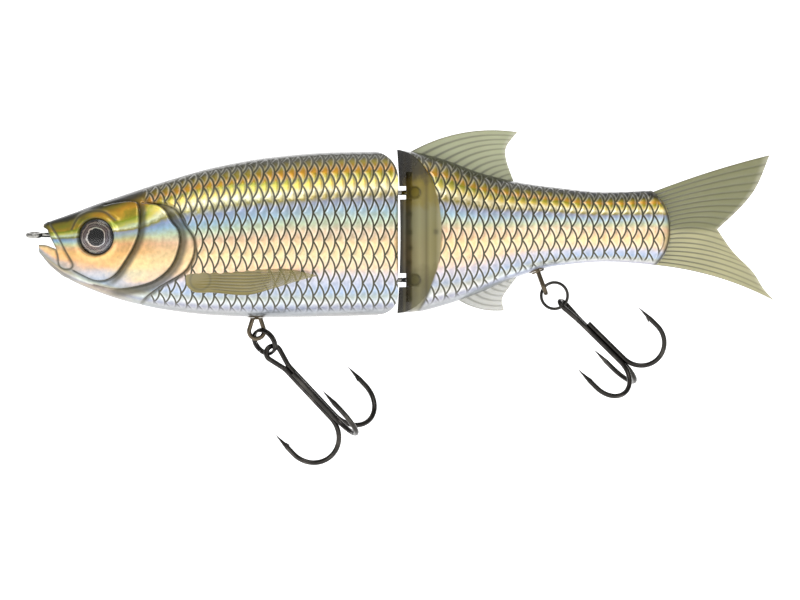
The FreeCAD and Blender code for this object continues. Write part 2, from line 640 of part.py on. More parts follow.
def main():
    os.makedirs("parts", exist_ok=True)
    make_front(*make_hanger("front"))
    make_rear(*make_hanger("rear"))
    axes = {**make_front_train(), **make_rear_train()}
    for name, (point, axis) in axes.items():
        print(name, [round(c, 4) for c in point], [round(c, 5) for c in axis])
    for name, shape in sorted(MADE.items()):
        solids = shape.Solids
        whole = solids[0] if len(solids) == 1 else Part.makeCompound(solids)
        print(f"{name}: {len(solids)} solid, {whole.Volume:.1f} mm3, valid {whole.isValid()}")
        whole.exportStep(f"parts/{name}.step")


main()
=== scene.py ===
"""Looks of a two-section glide swimbait: foil skins, eyes, rayed fins, wire, camera and lights.

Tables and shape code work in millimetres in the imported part's frame. Meshes are made in metres.
"""

import json
import math

import bmesh
import bpy
import numpy as np
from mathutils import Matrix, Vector

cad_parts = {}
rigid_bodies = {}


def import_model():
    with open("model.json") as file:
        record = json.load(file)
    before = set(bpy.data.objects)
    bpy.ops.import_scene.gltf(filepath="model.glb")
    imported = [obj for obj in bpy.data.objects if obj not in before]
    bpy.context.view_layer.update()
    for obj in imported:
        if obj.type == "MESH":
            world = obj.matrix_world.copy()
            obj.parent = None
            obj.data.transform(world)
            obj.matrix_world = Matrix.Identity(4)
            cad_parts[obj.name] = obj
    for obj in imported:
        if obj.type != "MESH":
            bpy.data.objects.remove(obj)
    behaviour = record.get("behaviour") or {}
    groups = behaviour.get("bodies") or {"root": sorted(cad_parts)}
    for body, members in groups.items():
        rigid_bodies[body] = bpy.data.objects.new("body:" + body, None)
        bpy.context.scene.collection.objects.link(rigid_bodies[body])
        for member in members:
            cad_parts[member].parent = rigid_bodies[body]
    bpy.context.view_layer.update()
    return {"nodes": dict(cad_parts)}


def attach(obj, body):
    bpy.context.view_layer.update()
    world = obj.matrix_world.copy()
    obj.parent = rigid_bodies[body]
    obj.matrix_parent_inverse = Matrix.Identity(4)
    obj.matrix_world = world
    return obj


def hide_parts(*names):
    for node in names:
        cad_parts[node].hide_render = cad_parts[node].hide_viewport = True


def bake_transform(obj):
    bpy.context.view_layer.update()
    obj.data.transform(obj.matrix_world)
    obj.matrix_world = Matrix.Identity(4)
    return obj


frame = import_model()
NODES = frame["nodes"]
MM = 0.001

# Body: (x, back height, belly height, half width), as in the CAD model
SECTION_POWER = 2.2
FRONT_STATIONS = [
    (1.2, 2.1, -4.3, 1.6),
    (4.0, 3.4, -7.6, 3.3),
    (8.0, 4.8, -10.6, 5.0),
    (14.0, 7.1, -13.4, 7.0),
    (22.0, 9.9, -16.1, 9.0),
    (32.0, 13.2, -18.4, 10.5),
    (44.0, 16.6, -19.8, 11.3),
    (58.0, 19.2, -20.3, 11.6),
    (74.0, 20.5, -20.1, 11.6),
    (92.0, 20.8, -19.5, 11.3),
]
REAR_STATIONS = [
    (88.0, 21.3, -19.4, 11.4),
    (94.0, 20.3, -18.9, 11.3),
    (101.0, 18.5, -17.2, 10.7),
    (109.0, 15.5, -14.4, 9.4),
    (118.0, 13.2, -10.6, 7.7),
    (129.0, 11.6, -7.5, 6.0),
    (141.0, 10.5, -6.5, 4.8),
    (150.0, 10.8, -7.0, 4.2),
    (159.0, 11.6, -8.4, 3.8),
]

# The front section's rear end, with its corners rounded along the back, belly and flanks
FRONT_END_X, FRONT_END_TOP, FRONT_END_BOTTOM = 89.7, 20.75, -19.65
FRONT_END_TOP_R, FRONT_END_BOTTOM_R, FRONT_END_SIDE_R = 6.9, 5.0, 2.0
FRONT_END_HALF = FRONT_STATIONS[-1][3] + 0.2
FRONT_ROUND = 7.0

# The rear section's leading wedge: a sloped tip, a slight hollow, and two pockets for the joint eyes
WEDGE_TIP_X, WEDGE_SLOPE = 89.3, math.tan(math.radians(46.0))
WEDGE_HOLLOW_X, WEDGE_HOLLOW_Z, WEDGE_HOLLOW_R = 90.25, 0.4, 260.0
HINGE_X, POCKET_R, POCKET_HALF = 92.4, 2.5, 1.6
POCKET_HEIGHTS = (10.4, -11.1)
POCKET_MEET_Y = 2.43
POCKET_EDGE_X, POCKET_EDGE_TURN = 99.0, 0.002
ANCHOR_X, ANCHOR_R = 93.8, 1.4
WEDGE_SPOTS = [
    (92.6, 15.0), (92.5, 5.2), (92.6, 0.6), (92.7, -3.2), (92.4, -6.7), (92.6, -15.6), (99.0, 0.7),
]
FOIL_START = [
    (92.5, 21.5), (93.6, 18.5), (96.3, 12.5), (98.9, 7.2), (100.2, 3.0), (100.1, -3.0),
    (98.9, -9.0), (96.6, -15.5), (94.0, -19.5), (92.5, -22.0),
]

# The round end that carries the tail
TAIL_ARC_X, TAIL_ARC_Z, TAIL_ARC_R, TAIL_END_R = 144.6, 1.3, 12.3, 4.0

# Rows and columns of the skins' grids
FRONT_ROWS, FRONT_ROUND_ROWS, FRONT_COLUMNS = 372, 41, 232
REAR_ROWS, TAIL_ARC_ROWS, WEDGE_ROWS, REAR_HALF_COLUMNS = 270, 60, 40, 150

# Scales
SCALE_PITCH = 2.7
ROW_HEIGHT_FRONT, ROW_HEIGHT_REAR = 3.5, 3.1
LATERAL_Z = 1.85
SCALE_RISE, SCALE_GROOVE = 0.10, 0.09
SEAM_DEPTH, SEAM_WIDTH = 0.06, 0.12

# Head lines seen from the side: (x, z)
MOUTH_GAP = [
    (-3.0, 8.0), (2.1, 8.0), (2.3, 1.9), (3.3, 1.3), (4.2, -0.8), (5.6, -3.5),
    (4.4, -3.05), (3.2, -2.55), (1.9, -2.4), (-3.0, -2.4),
]
CHEEK_EDGE = [
    (17.6, 7.0), (20.1, 7.5), (24.4, 7.9), (26.1, 6.6), (26.1, 1.0), (24.8, -2.9),
    (22.6, -6.6), (20.4, -9.5), (18.0, -10.8), (15.3, -10.8), (12.2, -9.6), (10.0, -8.5),
]
GILL_EDGE = [
    (27.0, 7.5), (30.5, 7.2), (32.7, 5.7), (34.2, 3.1), (35.8, 1.0), (36.1, -2.2),
    (34.8, -6.4), (32.7, -9.1), (29.5, -11.3), (24.8, -12.6), (20.0, -13.0), (15.0, -12.0),
]
COLLAR_EDGE = [
    (26.6, 24.0), (26.6, 13.0), (27.0, 9.0), (28.6, 7.7), (32.3, 7.2), (35.4, 5.7), (37.4, 2.2),
    (39.5, -1.0), (39.7, -4.2), (38.6, -7.3), (36.7, -9.5), (32.0, -12.2), (28.3, -14.8),
    (25.7, -17.5), (25.0, -22.0),
]
BROW_LINE = [(9.6, 1.2), (11.2, 4.0), (14.1, 5.3), (17.6, 5.2), (20.4, 3.4)]
LIP_LINE = [
    (4.2, 2.3), (6.0, -0.4), (8.0, -4.0), (9.8, -7.0), (9.3, -8.2), (7.6, -8.4), (6.3, -7.5),
    (6.1, -5.5), (5.6, -3.7),
]
MOUTH_EDGES = (
    [(2.2, 1.9), (3.3, 1.3), (4.2, -0.8), (5.6, -3.5)],
    [(1.0, -2.4), (3.2, -2.55), (4.4, -3.05), (5.6, -3.5)],
)

# Head plates: (rear edge, rise at the edge, fade ahead of it, width and depth of the shade behind)
HEAD_PLATES = (
    (COLLAR_EDGE, 0.30, 4.0, 0.9, 0.60),
    (GILL_EDGE, 0.55, 5.0, 2.2, 0.84),
    (CHEEK_EDGE, 0.50, 5.0, 1.9, 0.84),
)
PLATE_GROOVE_DEPTH, PLATE_GROOVE_WIDTH = 0.40, 0.36
BROW_RISE, BROW_WIDTH = 0.30, 0.60
LIP_GROOVE_DEPTH, LIP_GROOVE_WIDTH = 0.20, 0.22
LIP_RISE, LIP_RISE_INSET, LIP_RISE_WIDTH = 0.18, 0.80, 0.70
EYE_X, EYE_Z, EYE_R, EYE_YAW, EYE_SURFACE_Y = 15.5, -0.6, 4.4, 16.0, 7.35
EYE_RIM_RISE, EYE_RIM_OFFSET, EYE_RIM_WIDTH = 0.35, 0.55, 0.60
EYE_SOCKET_DEPTH = 2.2
EYE_SIDES, EYE_RINGS = 96, 30

# Fins: root lines, free edges and rays
TAIL_ROOT_R, TAIL_ROOT_START, TAIL_ROOT_SWEEP = 12.1, 50.0, 96.0
TAIL_UPPER_EDGE = [(181.3, 19.7), (178.3, 12.4), (174.6, 7.3), (168.4, 1.4)]
TAIL_LOWER_EDGE = [(168.4, 1.4), (172.2, -4.0), (177.1, -9.0), (179.8, -13.2), (182.5, -16.2)]
DORSAL_ROOT = [(92.5, 20.4), (99.0, 17.0), (107.2, 14.0), (118.4, 12.0)]
DORSAL_EDGE = [(119.1, 25.4), (116.4, 21.8), (116.4, 18.4), (118.4, 12.7)]
ANAL_ROOT = [(103.9, -15.6), (110.0, -12.6), (117.0, -9.6), (119.4, -9.2)]
ANAL_EDGE = [(115.8, -18.6), (115.4, -15.6), (117.4, -12.5), (119.4, -9.8)]
TAIL_RAYS, DORSAL_RAYS, ANAL_RAYS, PECTORAL_RAYS = 19, 11, 8, 9
FIN_ROWS, COLUMNS_PER_RAY, FIN_EDGE_THICK, RAY_GROOVE = 90, 12, 0.5, 0.16
PECTORAL_UPPER = [
    (37.6, -10.6), (38.4, -8.9), (40.4, -8.3), (46.0, -7.8), (52.9, -7.6), (63.0, -8.4), (70.2, -10.0),
]
PECTORAL_LOWER = [
    (37.6, -10.6), (38.0, -12.6), (39.8, -14.2), (42.0, -14.4), (44.6, -14.4), (52.9, -15.0),
    (59.8, -13.1), (65.4, -11.3), (70.2, -10.0),
]
PECTORAL_ROWS, PECTORAL_COLUMNS = 160, 85
PECTORAL_ROOT, PECTORAL_ROOT_Y = (41.5, 0, -11.4), -10.45
PECTORAL_ROLL, PECTORAL_YAW = -18.4, -4.3
BOSS_X, BOSS_Z, BOSS_R = 41.3, -11.3, 2.5

# Foil colours from the belly (0) to the back (1): the foil's rainbow reflections, painted in by height,
# with painted highlights as the pale bands at 0.085 and 0.765
FOIL_BANDS_WITH_PAINTED_HIGHLIGHTS = [
    (0.000, (0.10, 0.10, 0.10)),
    (0.030, (0.36, 0.36, 0.38)),
    (0.060, (0.30, 0.31, 0.42)),
    (0.085, (0.62, 0.64, 0.68)),
    (0.115, (0.40, 0.43, 0.40)),
    (0.150, (0.34, 0.42, 0.58)),
    (0.230, (0.52, 0.50, 0.60)),
    (0.290, (0.82, 0.56, 0.36)),
    (0.400, (0.90, 0.66, 0.34)),
    (0.510, (0.86, 0.60, 0.40)),
    (0.580, (0.66, 0.74, 0.50)),
    (0.640, (0.42, 0.60, 0.74)),
    (0.690, (0.36, 0.42, 0.62)),
    (0.725, (0.36, 0.30, 0.07)),
    (0.765, (1.00, 0.92, 0.58)),
    (0.800, (0.84, 0.66, 0.14)),
    (0.840, (0.34, 0.33, 0.015)),
    (0.875, (0.60, 0.30, 0.02)),
    (0.915, (0.28, 0.22, 0.015)),
    (0.955, (0.05, 0.045, 0.008)),
    (1.000, (0.012, 0.013, 0.013)),
]
FOIL_PATCHES = [
    (0.38, (1.0, 0.74, 0.40)), (0.47, (1.0, 0.92, 0.72)),
    (0.53, (0.95, 1.0, 0.85)), (0.62, (0.66, 0.92, 1.0)),
]
SCALE_GLINT = (1.0, 0.99, 0.94)
SCALE_INK = (0.045, 0.042, 0.018)
SHADE_INK = (0.05, 0.046, 0.02)

# Smoky wedge: its colours from the tip (0) back to the foil (1), and their shade by height
SMOKE_FROM_X, SMOKE_TO_X = 89.0, 101.0
SMOKE_BANDS = [
    (0.00, (0.05, 0.042, 0.02)),
    (0.05, (0.06, 0.05, 0.025)),
    (0.09, (0.20, 0.17, 0.08)),
    (0.14, (0.09, 0.075, 0.04)),
    (0.22, (0.12, 0.10, 0.05)),
    (0.29, (0.30, 0.27, 0.12)),
    (0.50, (0.40, 0.37, 0.18)),
    (0.64, (0.30, 0.27, 0.12)),
    (0.70, (0.20, 0.175, 0.07)),
    (0.80, (0.33, 0.30, 0.12)),
    (0.92, (0.24, 0.21, 0.075)),
    (1.00, (0.42, 0.38, 0.20)),
]
SMOKE_SHADES = [
    (0.00, (0.45, 0.45, 0.45)),
    (0.18, (0.60, 0.58, 0.50)),
    (0.30, (1.0, 1.0, 1.0)),
    (0.64, (1.0, 1.0, 1.0)),
    (0.70, (0.95, 0.85, 0.45)),
    (0.82, (0.85, 0.72, 0.24)),
    (0.88, (0.22, 0.19, 0.13)),
    (1.00, (0.08, 0.08, 0.08)),
]

# Eye colours from the pupil's centre (0) to the rim (1)
IRIS_RINGS = [
    (0.00, (0.004, 0.004, 0.004)),
    (0.49, (0.004, 0.004, 0.005)),
    (0.53, (0.80, 0.80, 0.80)),
    (0.56, (0.60, 0.56, 0.52)),
    (0.59, (0.05, 0.04, 0.03)),
    (0.67, (0.20, 0.16, 0.17)),
    (0.73, (0.04, 0.03, 0.025)),
    (0.81, (0.34, 0.31, 0.30)),
    (0.86, (0.12, 0.10, 0.09)),
    (0.91, (0.02, 0.02, 0.02)),
    (1.00, (0.008, 0.008, 0.008)),
]
IRIS_TINTS = [
    (0.30, (0.45, 0.6, 0.9)), (0.45, (1.0, 0.95, 0.9)),
    (0.55, (1.0, 0.7, 0.5)), (0.70, (0.8, 1.0, 0.7)),
]

# Soft plastics
PECTORAL_BANDS = [
    (0.0, (0.26, 0.21, 0.055)), (0.3, (0.22, 0.175, 0.04)),
    (0.6, (0.28, 0.23, 0.06)), (1.0, (0.38, 0.32, 0.10)),
]
TAIL_UPPER_COLOUR, TAIL_LOWER_COLOUR = (0.22, 0.22, 0.10), (0.48, 0.45, 0.25)
DORSAL_COLOUR, ANAL_COLOUR = (0.44, 0.46, 0.28), (0.5, 0.5, 0.45)
RAY_COLOUR, ANAL_RAY_COLOUR = (0.10, 0.10, 0.06), (0.2, 0.2, 0.16)

# Studio, in metres and watts: lamps as (name, place, size, power)
FLOOR_Z, FLOOR_FRONT, FLOOR_BACK, FLOOR_CURVE, WALL_TOP, FLOOR_HALF = -0.16, -5.0, 5.0, 0.8, 6.0, 7.0
PAPER_GLOW, SKY_STRENGTH = 0.75, 0.5
LAMPS = (
    ("key", (-0.15, -0.75, 0.75), 0.6, 3.0),
    ("fill", (0.75, -0.8, 0.15), 0.6, 0.9),
    ("top", (0.1, 0.1, 0.9), 0.6, 1.0),
    ("under", (0.1, -0.5, -0.14), 0.25, 0.05),
    ("back", (0.3, 0.9, 0.6), 0.8, 1.4),
)
LAMP_AIM = Vector((0.09, 0, -0.01))
CAMERA_X, CAMERA_Z, CAMERA_DISTANCE, VIEW_WIDTH = 0.09017, -0.01603, 1.6, 0.1973
SENSOR_WIDTH = 36.0


# ---------------------------------------------------------------- curves and distances


def tilts_of(xs, ys):
    """Slopes for a smooth curve through the points that never overshoots."""
    steps = np.diff(ys) / np.diff(xs)
    product, total = steps[:-1] * steps[1:], steps[:-1] + steps[1:]
    inner = np.where(product <= 0, 0.0, 2 * product / np.where(total == 0, 1, total))
    return np.concatenate([steps[:1], inner, steps[-1:]])


def profile(stations, x):
    """Back height, belly height and half width at x."""
    table = np.array(stations)
    xs = table[:, 0]
    i = np.clip(np.searchsorted(xs, x, side="right") - 1, 0, len(xs) - 2)
    span = xs[i + 1] - xs[i]
    t = (x - xs[i]) / span
    ease = t * t * (3 - 2 * t)
    values = []
    for column in table[:, 1:].T:
        tilts = tilts_of(xs, column)
        bend = span * t * (1 - t) * ((1 - t) * tilts[i] - t * tilts[i + 1])
        values.append(column[i] + (column[i + 1] - column[i]) * ease + bend)
    return values


def rounded(value):
    """Bends a sine or cosine so that a circle's section becomes a fuller one."""
    return np.sign(value) * np.abs(value) ** (2 / SECTION_POWER)


def section_points(stations, x, angle):
    """Points of the body's skin: y and z at x, turned by the angle from the belly."""
    top, bottom, half = profile(stations, x)
    y = half * rounded(np.sin(angle))
    z = (top + bottom) / 2 - (top - bottom) / 2 * rounded(np.cos(angle))
    return y, z


def smooth_path(points, steps=10):
    """Points along a smooth curve through the given ones."""
    p = np.array(points, float)
    ends = np.vstack([2 * p[0] - p[1], p, 2 * p[-1] - p[-2]])
    t = np.linspace(0, 1, steps, endpoint=False)[:, None]
    runs = []
    for a, b, c, d in zip(ends, ends[1:], ends[2:], ends[3:]):
        square = (2 * a - 5 * b + 4 * c - d) * t**2
        cube = (3 * b - a - 3 * c + d) * t**3
        runs.append((2 * b + (c - a) * t + square + cube) / 2)
    return np.vstack(runs + [p[-1:]])


def along_path(points, t):
    """Points at these fractions of the length of a smooth curve."""
    line = smooth_path(points, 12)
    length = np.concatenate([[0], np.cumsum(np.linalg.norm(np.diff(line, axis=0), axis=1))])
    where = np.asarray(t) * length[-1]
    return np.stack([np.interp(where, length, line[:, k]) for k in range(line.shape[1])], -1)


def signed_distance(x, z, points):
    """Distance to a smooth line in the side view. Positive lies to the left of its direction."""
    line = smooth_path(points, 6)
    best = np.full(x.shape, 1e9)
    sign = np.ones(x.shape)
    for (ax, az), (bx, bz) in zip(line, line[1:]):
        dx, dz = bx - ax, bz - az
        t = np.clip(((x - ax) * dx + (z - az) * dz) / (dx * dx + dz * dz), 0, 1)
        gap = np.hypot(x - ax - t * dx, z - az - t * dz)
        nearer = gap < best
        best = np.where(nearer, gap, best)
        sign = np.where(nearer, np.sign((z - az) * dx - (x - ax) * dz), sign)
    return best * np.where(sign == 0, 1, sign)


def step_up(value, low, high):
    """Eases from 0 at low to 1 at high."""
    t = np.clip((value - low) / (high - low), 0, 1)
    return t * t * (3 - 2 * t)


def bell(distance, width):
    """1 on a line, falling smoothly to nothing within about two widths."""
    return np.exp(-((distance / width) ** 2))


def quarter_circle(distance, radius):
    """Height of a circle at a distance past its centre, and its full radius before it."""
    return np.sqrt(np.clip(radius**2 - np.clip(distance, 0, None) ** 2, 0, None))


def scale_distance(u, v, row_height):
    """Distance in millimetres to the nearest scale edge."""
    gaps = []
    for offset in (0, 1):
        row = np.floor(v) + offset
        t = v - row
        g = u - 0.5 * np.mod(row, 2) + 0.5 * t * t
        d = np.abs(g - np.round(g))
        gaps.append(d / np.sqrt(1 / SCALE_PITCH**2 + (t / row_height) ** 2))
    return np.minimum(*gaps)


def turned(points, axis, degrees):
    """Points turned about the X or the Z axis."""
    angle = math.radians(degrees)
    c, s = math.cos(angle), math.sin(angle)
    x, y, z = points[..., 0], points[..., 1], points[..., 2]
    if axis == "X":
        return np.stack([x, c * y - s * z, s * y + c * z], -1)
    return np.stack([c * x - s * y, s * x + c * y, z], -1)


# ---------------------------------------------------------------- meshes


def grid_normals(points, outward):
    """Unit normals of a grid of points, on the outward side."""
    along = np.gradient(points, axis=0)
    across = np.gradient(points, axis=1)
    normal = np.cross(along, across)
    length = np.linalg.norm(normal, axis=2, keepdims=True)
    normal = normal / np.where(length < 1e-9, 1, length)
    flip = np.sign(np.sum(normal * outward, axis=2, keepdims=True))
    return normal * np.where(flip == 0, 1, flip)


def grid_faces(rows, columns, wrap=False):
    """Quads of a grid whose vertex number is row * columns + column."""
    last = columns if wrap else columns - 1
    i, j = np.meshgrid(np.arange(rows - 1), np.arange(last), indexing="ij")
    k = (j + 1) % columns
    near, far = i * columns, (i + 1) * columns
    return np.stack([near + j, far + j, far + k, near + k], -1).reshape(-1, 4).tolist()


def make_object(name, points, faces, values=None):
    """A mesh object from millimetre points, with one number per point for each named value."""
    mesh = bpy.data.meshes.new(name)
    mesh.from_pydata((np.asarray(points).reshape(-1, 3) * MM).tolist(), [], faces)
    for key, numbers in (values or {}).items():
        layer = mesh.attributes.new(key, "FLOAT", "POINT")
        layer.data.foreach_set("value", np.asarray(numbers, np.float32).ravel())
    piece = bpy.data.objects.new(name, mesh)
    bpy.context.scene.collection.objects.link(piece)
    tidy_mesh(mesh)
    mesh.shade_smooth()
    return piece


def tidy_mesh(mesh):
    """Welds points that coincide and turns the faces outwards."""
    work = bmesh.new()
    work.from_mesh(mesh)
    bmesh.ops.remove_doubles(work, verts=work.verts, dist=2e-6)
    bmesh.ops.dissolve_degenerate(work, edges=work.edges, dist=1e-7)
    bmesh.ops.recalc_face_normals(work, faces=work.faces)
    work.to_mesh(mesh)
    work.free()


def sharpen(piece, degrees):
    """Edges sharper than this stay crisp under smooth shading."""
    piece.data.set_sharp_from_angle(angle=math.radians(degrees))


def cut_with(piece, cutter):
    """Takes the cutter out of the piece and removes the cutter."""
    modifier = piece.modifiers.new("cut", "BOOLEAN")
    modifier.object = cutter
    modifier.operation = "DIFFERENCE"
    modifier.solver = "EXACT"
    view = bpy.context.evaluated_depsgraph_get()
    mesh = bpy.data.meshes.new_from_object(piece.evaluated_get(view), depsgraph=view)
    piece.modifiers.clear()
    piece.data = mesh
    bpy.data.objects.remove(cutter)


def thick_sheet(name, middle, out, half, values):
    """A closed thin sheet: middle points (rows, columns), the way it faces, and half its thickness."""
    rows, columns = middle.shape[:2]
    offset = np.asarray(out)[None, None, :] * half[..., None]
    points = np.concatenate([(middle + offset).reshape(-1, 3), (middle - offset).reshape(-1, 3)])
    count = rows * columns
    front = grid_faces(rows, columns)
    back = [[count + k for k in reversed(face)] for face in front]
    rim = [i * columns for i in range(rows)]
    rim += [(rows - 1) * columns + j for j in range(1, columns)]
    rim += [i * columns + columns - 1 for i in range(rows - 2, -1, -1)]
    rim += list(range(columns - 2, 0, -1))
    edge = [[a, b, b + count, a + count] for a, b in zip(rim, rim[1:] + rim[:1])]
    doubled = {key: np.concatenate([v.ravel(), v.ravel()]) for key, v in values.items()}
    piece = make_object(name, points, front + back + edge, doubled)
    sharpen(piece, 60)
    return piece


# ---------------------------------------------------------------- body skins


def head_marks(x, z, bottom):
    """Relief and dark paint of the head, and where the scales begin behind it."""
    relief = np.zeros(x.shape)
    dark = np.zeros(x.shape)
    # Relief and lines of the plates fade out at the throat and below the back, and their shade fades
    # out below the back and at the rear of the eye
    near = step_up(z, -17.5, -15.0) * (1 - step_up(z, 7.4, 9.5))
    shaded = (1 - step_up(z, 6.8, 8.0)) * step_up(x, 17.0, 21.0)
    for edge, rise, reach, width, shade in HEAD_PLATES:
        line = signed_distance(x, z, edge)
        relief += rise * np.where(line < 0, np.exp(line / reach), 0.0) * near
        relief -= PLATE_GROOVE_DEPTH * bell(line - 0.2, PLATE_GROOVE_WIDTH) * near
        behind = step_up(line, -0.05, 0.1) * (1 - step_up(line, 0.6 * width, 1.25 * width))
        dark = np.maximum(dark, bell(line - 0.15, 0.38) * near)
        dark = np.maximum(dark, shade * behind * shaded)
    brow = signed_distance(x, z, BROW_LINE)
    relief += BROW_RISE * bell(brow, BROW_WIDTH)
    dark = np.maximum(dark, 0.9 * bell(brow, 0.34))
    lip = signed_distance(x, z, LIP_LINE)
    relief -= LIP_GROOVE_DEPTH * bell(lip, LIP_GROOVE_WIDTH)
    relief += LIP_RISE * bell(lip + LIP_RISE_INSET, LIP_RISE_WIDTH) * (1 - step_up(x, 9.0, 10.5))
    dark = np.maximum(dark, 0.95 * bell(lip, 0.36))
    for edge in MOUTH_EDGES:
        dark = np.maximum(dark, 0.9 * bell(signed_distance(x, z, edge), 0.5))
    jaw_rim = (1 - step_up(x, 8.0, 12.0)) * bell(z - bottom, 1.6)
    dark = np.maximum(dark, 0.7 * jaw_rim)
    past_eye = np.hypot(x - EYE_X, z - EYE_Z) - EYE_R
    relief += EYE_RIM_RISE * bell(past_eye - EYE_RIM_OFFSET, EYE_RIM_WIDTH)
    relief -= EYE_SOCKET_DEPTH * (1 - step_up(past_eye, -0.15, 0.1))
    dark = np.maximum(dark, 0.75 * bell(past_eye - 0.1, 0.22))
    scaled = step_up(signed_distance(x, z, COLLAR_EDGE), 0.1, 0.9) * step_up(x, 25.5, 27.5)
    return relief, dark, scaled


def skin_values(x, y, z, arc, top, bottom, row_height, is_front):
    """Numbers that the foil material reads, and the height of the relief over the plain skin."""
    u, v = x / SCALE_PITCH, arc / row_height
    height = (z - bottom) / (top - bottom)
    edge = scale_distance(u, v, row_height)
    strength = step_up(height, 0.02, 0.07) * (1 - step_up(height, 0.965, 0.995))
    relief = np.zeros(x.shape)
    dark = np.zeros(x.shape)
    glass = np.zeros(x.shape)
    if is_front:
        relief, dark, scaled = head_marks(x, z, bottom)
        strength = strength * scaled
    relief += strength * (SCALE_RISE * step_up(edge, 0.1, 0.9) - SCALE_GROOVE * bell(edge, 0.2))
    relief -= SEAM_DEPTH * bell(y, SEAM_WIDTH)
    if not is_front:
        boundary = signed_distance(x, z, FOIL_START)
        glass = 1 - step_up(boundary, -0.15, 0.25)
        relief += 0.12 * step_up(boundary, -0.1, 0.2)
        tail_rim = TAIL_ARC_R - np.hypot(x - TAIL_ARC_X, z - TAIL_ARC_Z)
        near_tail = step_up(x, 150.0, 152.5)
        strength = strength * (1 - glass) * (1 - near_tail * (1 - step_up(tail_rim, 0.9, 1.5)))
        dark = np.maximum(0.7 * bell(boundary, 0.3), near_tail * bell(tail_rim - 0.3, 0.4))
    values = {
        "scale_u": u,
        "scale_v": v,
        "height": height,
        "strength": strength,
        "dark": dark,
        "glass": glass,
        "body_x": x,
    }
    return values, relief


def arc_rows(y, z, lateral):
    """Distance along each section's skin from the lateral line, upwards."""
    steps = np.hypot(np.diff(y, axis=1), np.diff(z, axis=1))
    arc = np.concatenate([np.zeros((y.shape[0], 1)), np.cumsum(steps, axis=1)], axis=1)
    start = np.argmin(np.abs(z - lateral), axis=1)
    rows = np.arange(y.shape[0])
    fine = (lateral - z[rows, start]) / np.maximum(np.gradient(z, axis=1)[rows, start], 0.05)
    step = np.take_along_axis(steps, np.minimum(start, steps.shape[1] - 1)[:, None], axis=1)[:, 0]
    return arc - (arc[rows, start] + fine * step)[:, None]


def round_front_end(x, points):
    """Rounds the front section's rear end along the back, the belly and the flanks."""
    past_top = x - FRONT_END_X + FRONT_END_TOP_R
    past_bottom = x - FRONT_END_X + FRONT_END_BOTTOM_R
    past_side = x - FRONT_END_X + FRONT_END_SIDE_R
    high = FRONT_END_TOP - FRONT_END_TOP_R + quarter_circle(past_top, FRONT_END_TOP_R)
    low = FRONT_END_BOTTOM + FRONT_END_BOTTOM_R - quarter_circle(past_bottom, FRONT_END_BOTTOM_R)
    wide = FRONT_END_HALF - FRONT_END_SIDE_R + quarter_circle(past_side, FRONT_END_SIDE_R)
    high = np.where(past_top > 0, high, np.inf)
    low = np.where(past_bottom > 0, low, -np.inf)
    points[..., 2] = np.clip(points[..., 2], low, high)
    points[..., 1] = np.minimum(points[..., 1], np.where(past_side > 0, wide, np.inf))


def mouth_cutter():
    """A prism right through the head in the shape of the open mouth."""
    corners = np.array([(x, y, z) for y in (-20, 20) for x, z in MOUTH_GAP])
    count = len(MOUTH_GAP)
    faces = [[k, (k + 1) % count, (k + 1) % count + count, k + count] for k in range(count)]
    faces += [list(range(count)), list(range(count, 2 * count))]
    return make_object("mouth_cutter", corners, faces)


def front_skin(side):
    """One half of the front section's skin, closed on the middle plane."""
    round_start = FRONT_END_X - FRONT_ROUND
    body = np.linspace(FRONT_STATIONS[0][0], round_start, FRONT_ROWS)
    turn = np.linspace(0, math.pi / 2, FRONT_ROUND_ROWS + 1)[1:]
    x_line = np.concatenate([body, round_start + FRONT_ROUND * np.sin(turn)])
    x, angle = np.meshgrid(x_line, np.linspace(0, math.pi, FRONT_COLUMNS), indexing="ij")
    y, z = section_points(FRONT_STATIONS, x, angle)
    top, bottom, _ = profile(FRONT_STATIONS, x)
    arc = arc_rows(y, z, LATERAL_Z)
    row_height = ROW_HEIGHT_FRONT - 0.2 * (1 - step_up(x, 28.0, 50.0))
    values, relief = skin_values(x, y, z, arc, top, bottom, row_height, True)
    relief = relief * (1 - step_up(x, FRONT_END_X - 2.5, FRONT_END_X - 1.5))
    points = np.stack([x, y, z], -1)
    outward = np.stack([np.zeros(x.shape), y, z - (top + bottom) / 2], -1)
    points = points + grid_normals(points, outward) * relief[..., None]
    points[:, [0, -1], 1] = 0.0
    points[..., 1] = np.maximum(points[..., 1], 0.0)
    round_front_end(x, points)
    points[..., 1] *= side
    rows, columns = x.shape
    faces = grid_faces(rows, columns)
    for near in range(0, (rows - 1) * columns, columns):
        far = near + columns
        faces.append([near, far, far + columns - 1, near + columns - 1])
    faces.append(list(range(columns)))
    faces.append(list(range((rows - 1) * columns, rows * columns)))
    piece = make_object("front_skin_" + ("right" if side > 0 else "left"), points, faces, values)
    cut_with(piece, mouth_cutter())
    sharpen(piece, 50)
    return piece


def wedge_hollow(z):
    """The least x of the leading wedge at this height."""
    return WEDGE_HOLLOW_X - (z - WEDGE_HOLLOW_Z) ** 2 / (2 * WEDGE_HOLLOW_R)


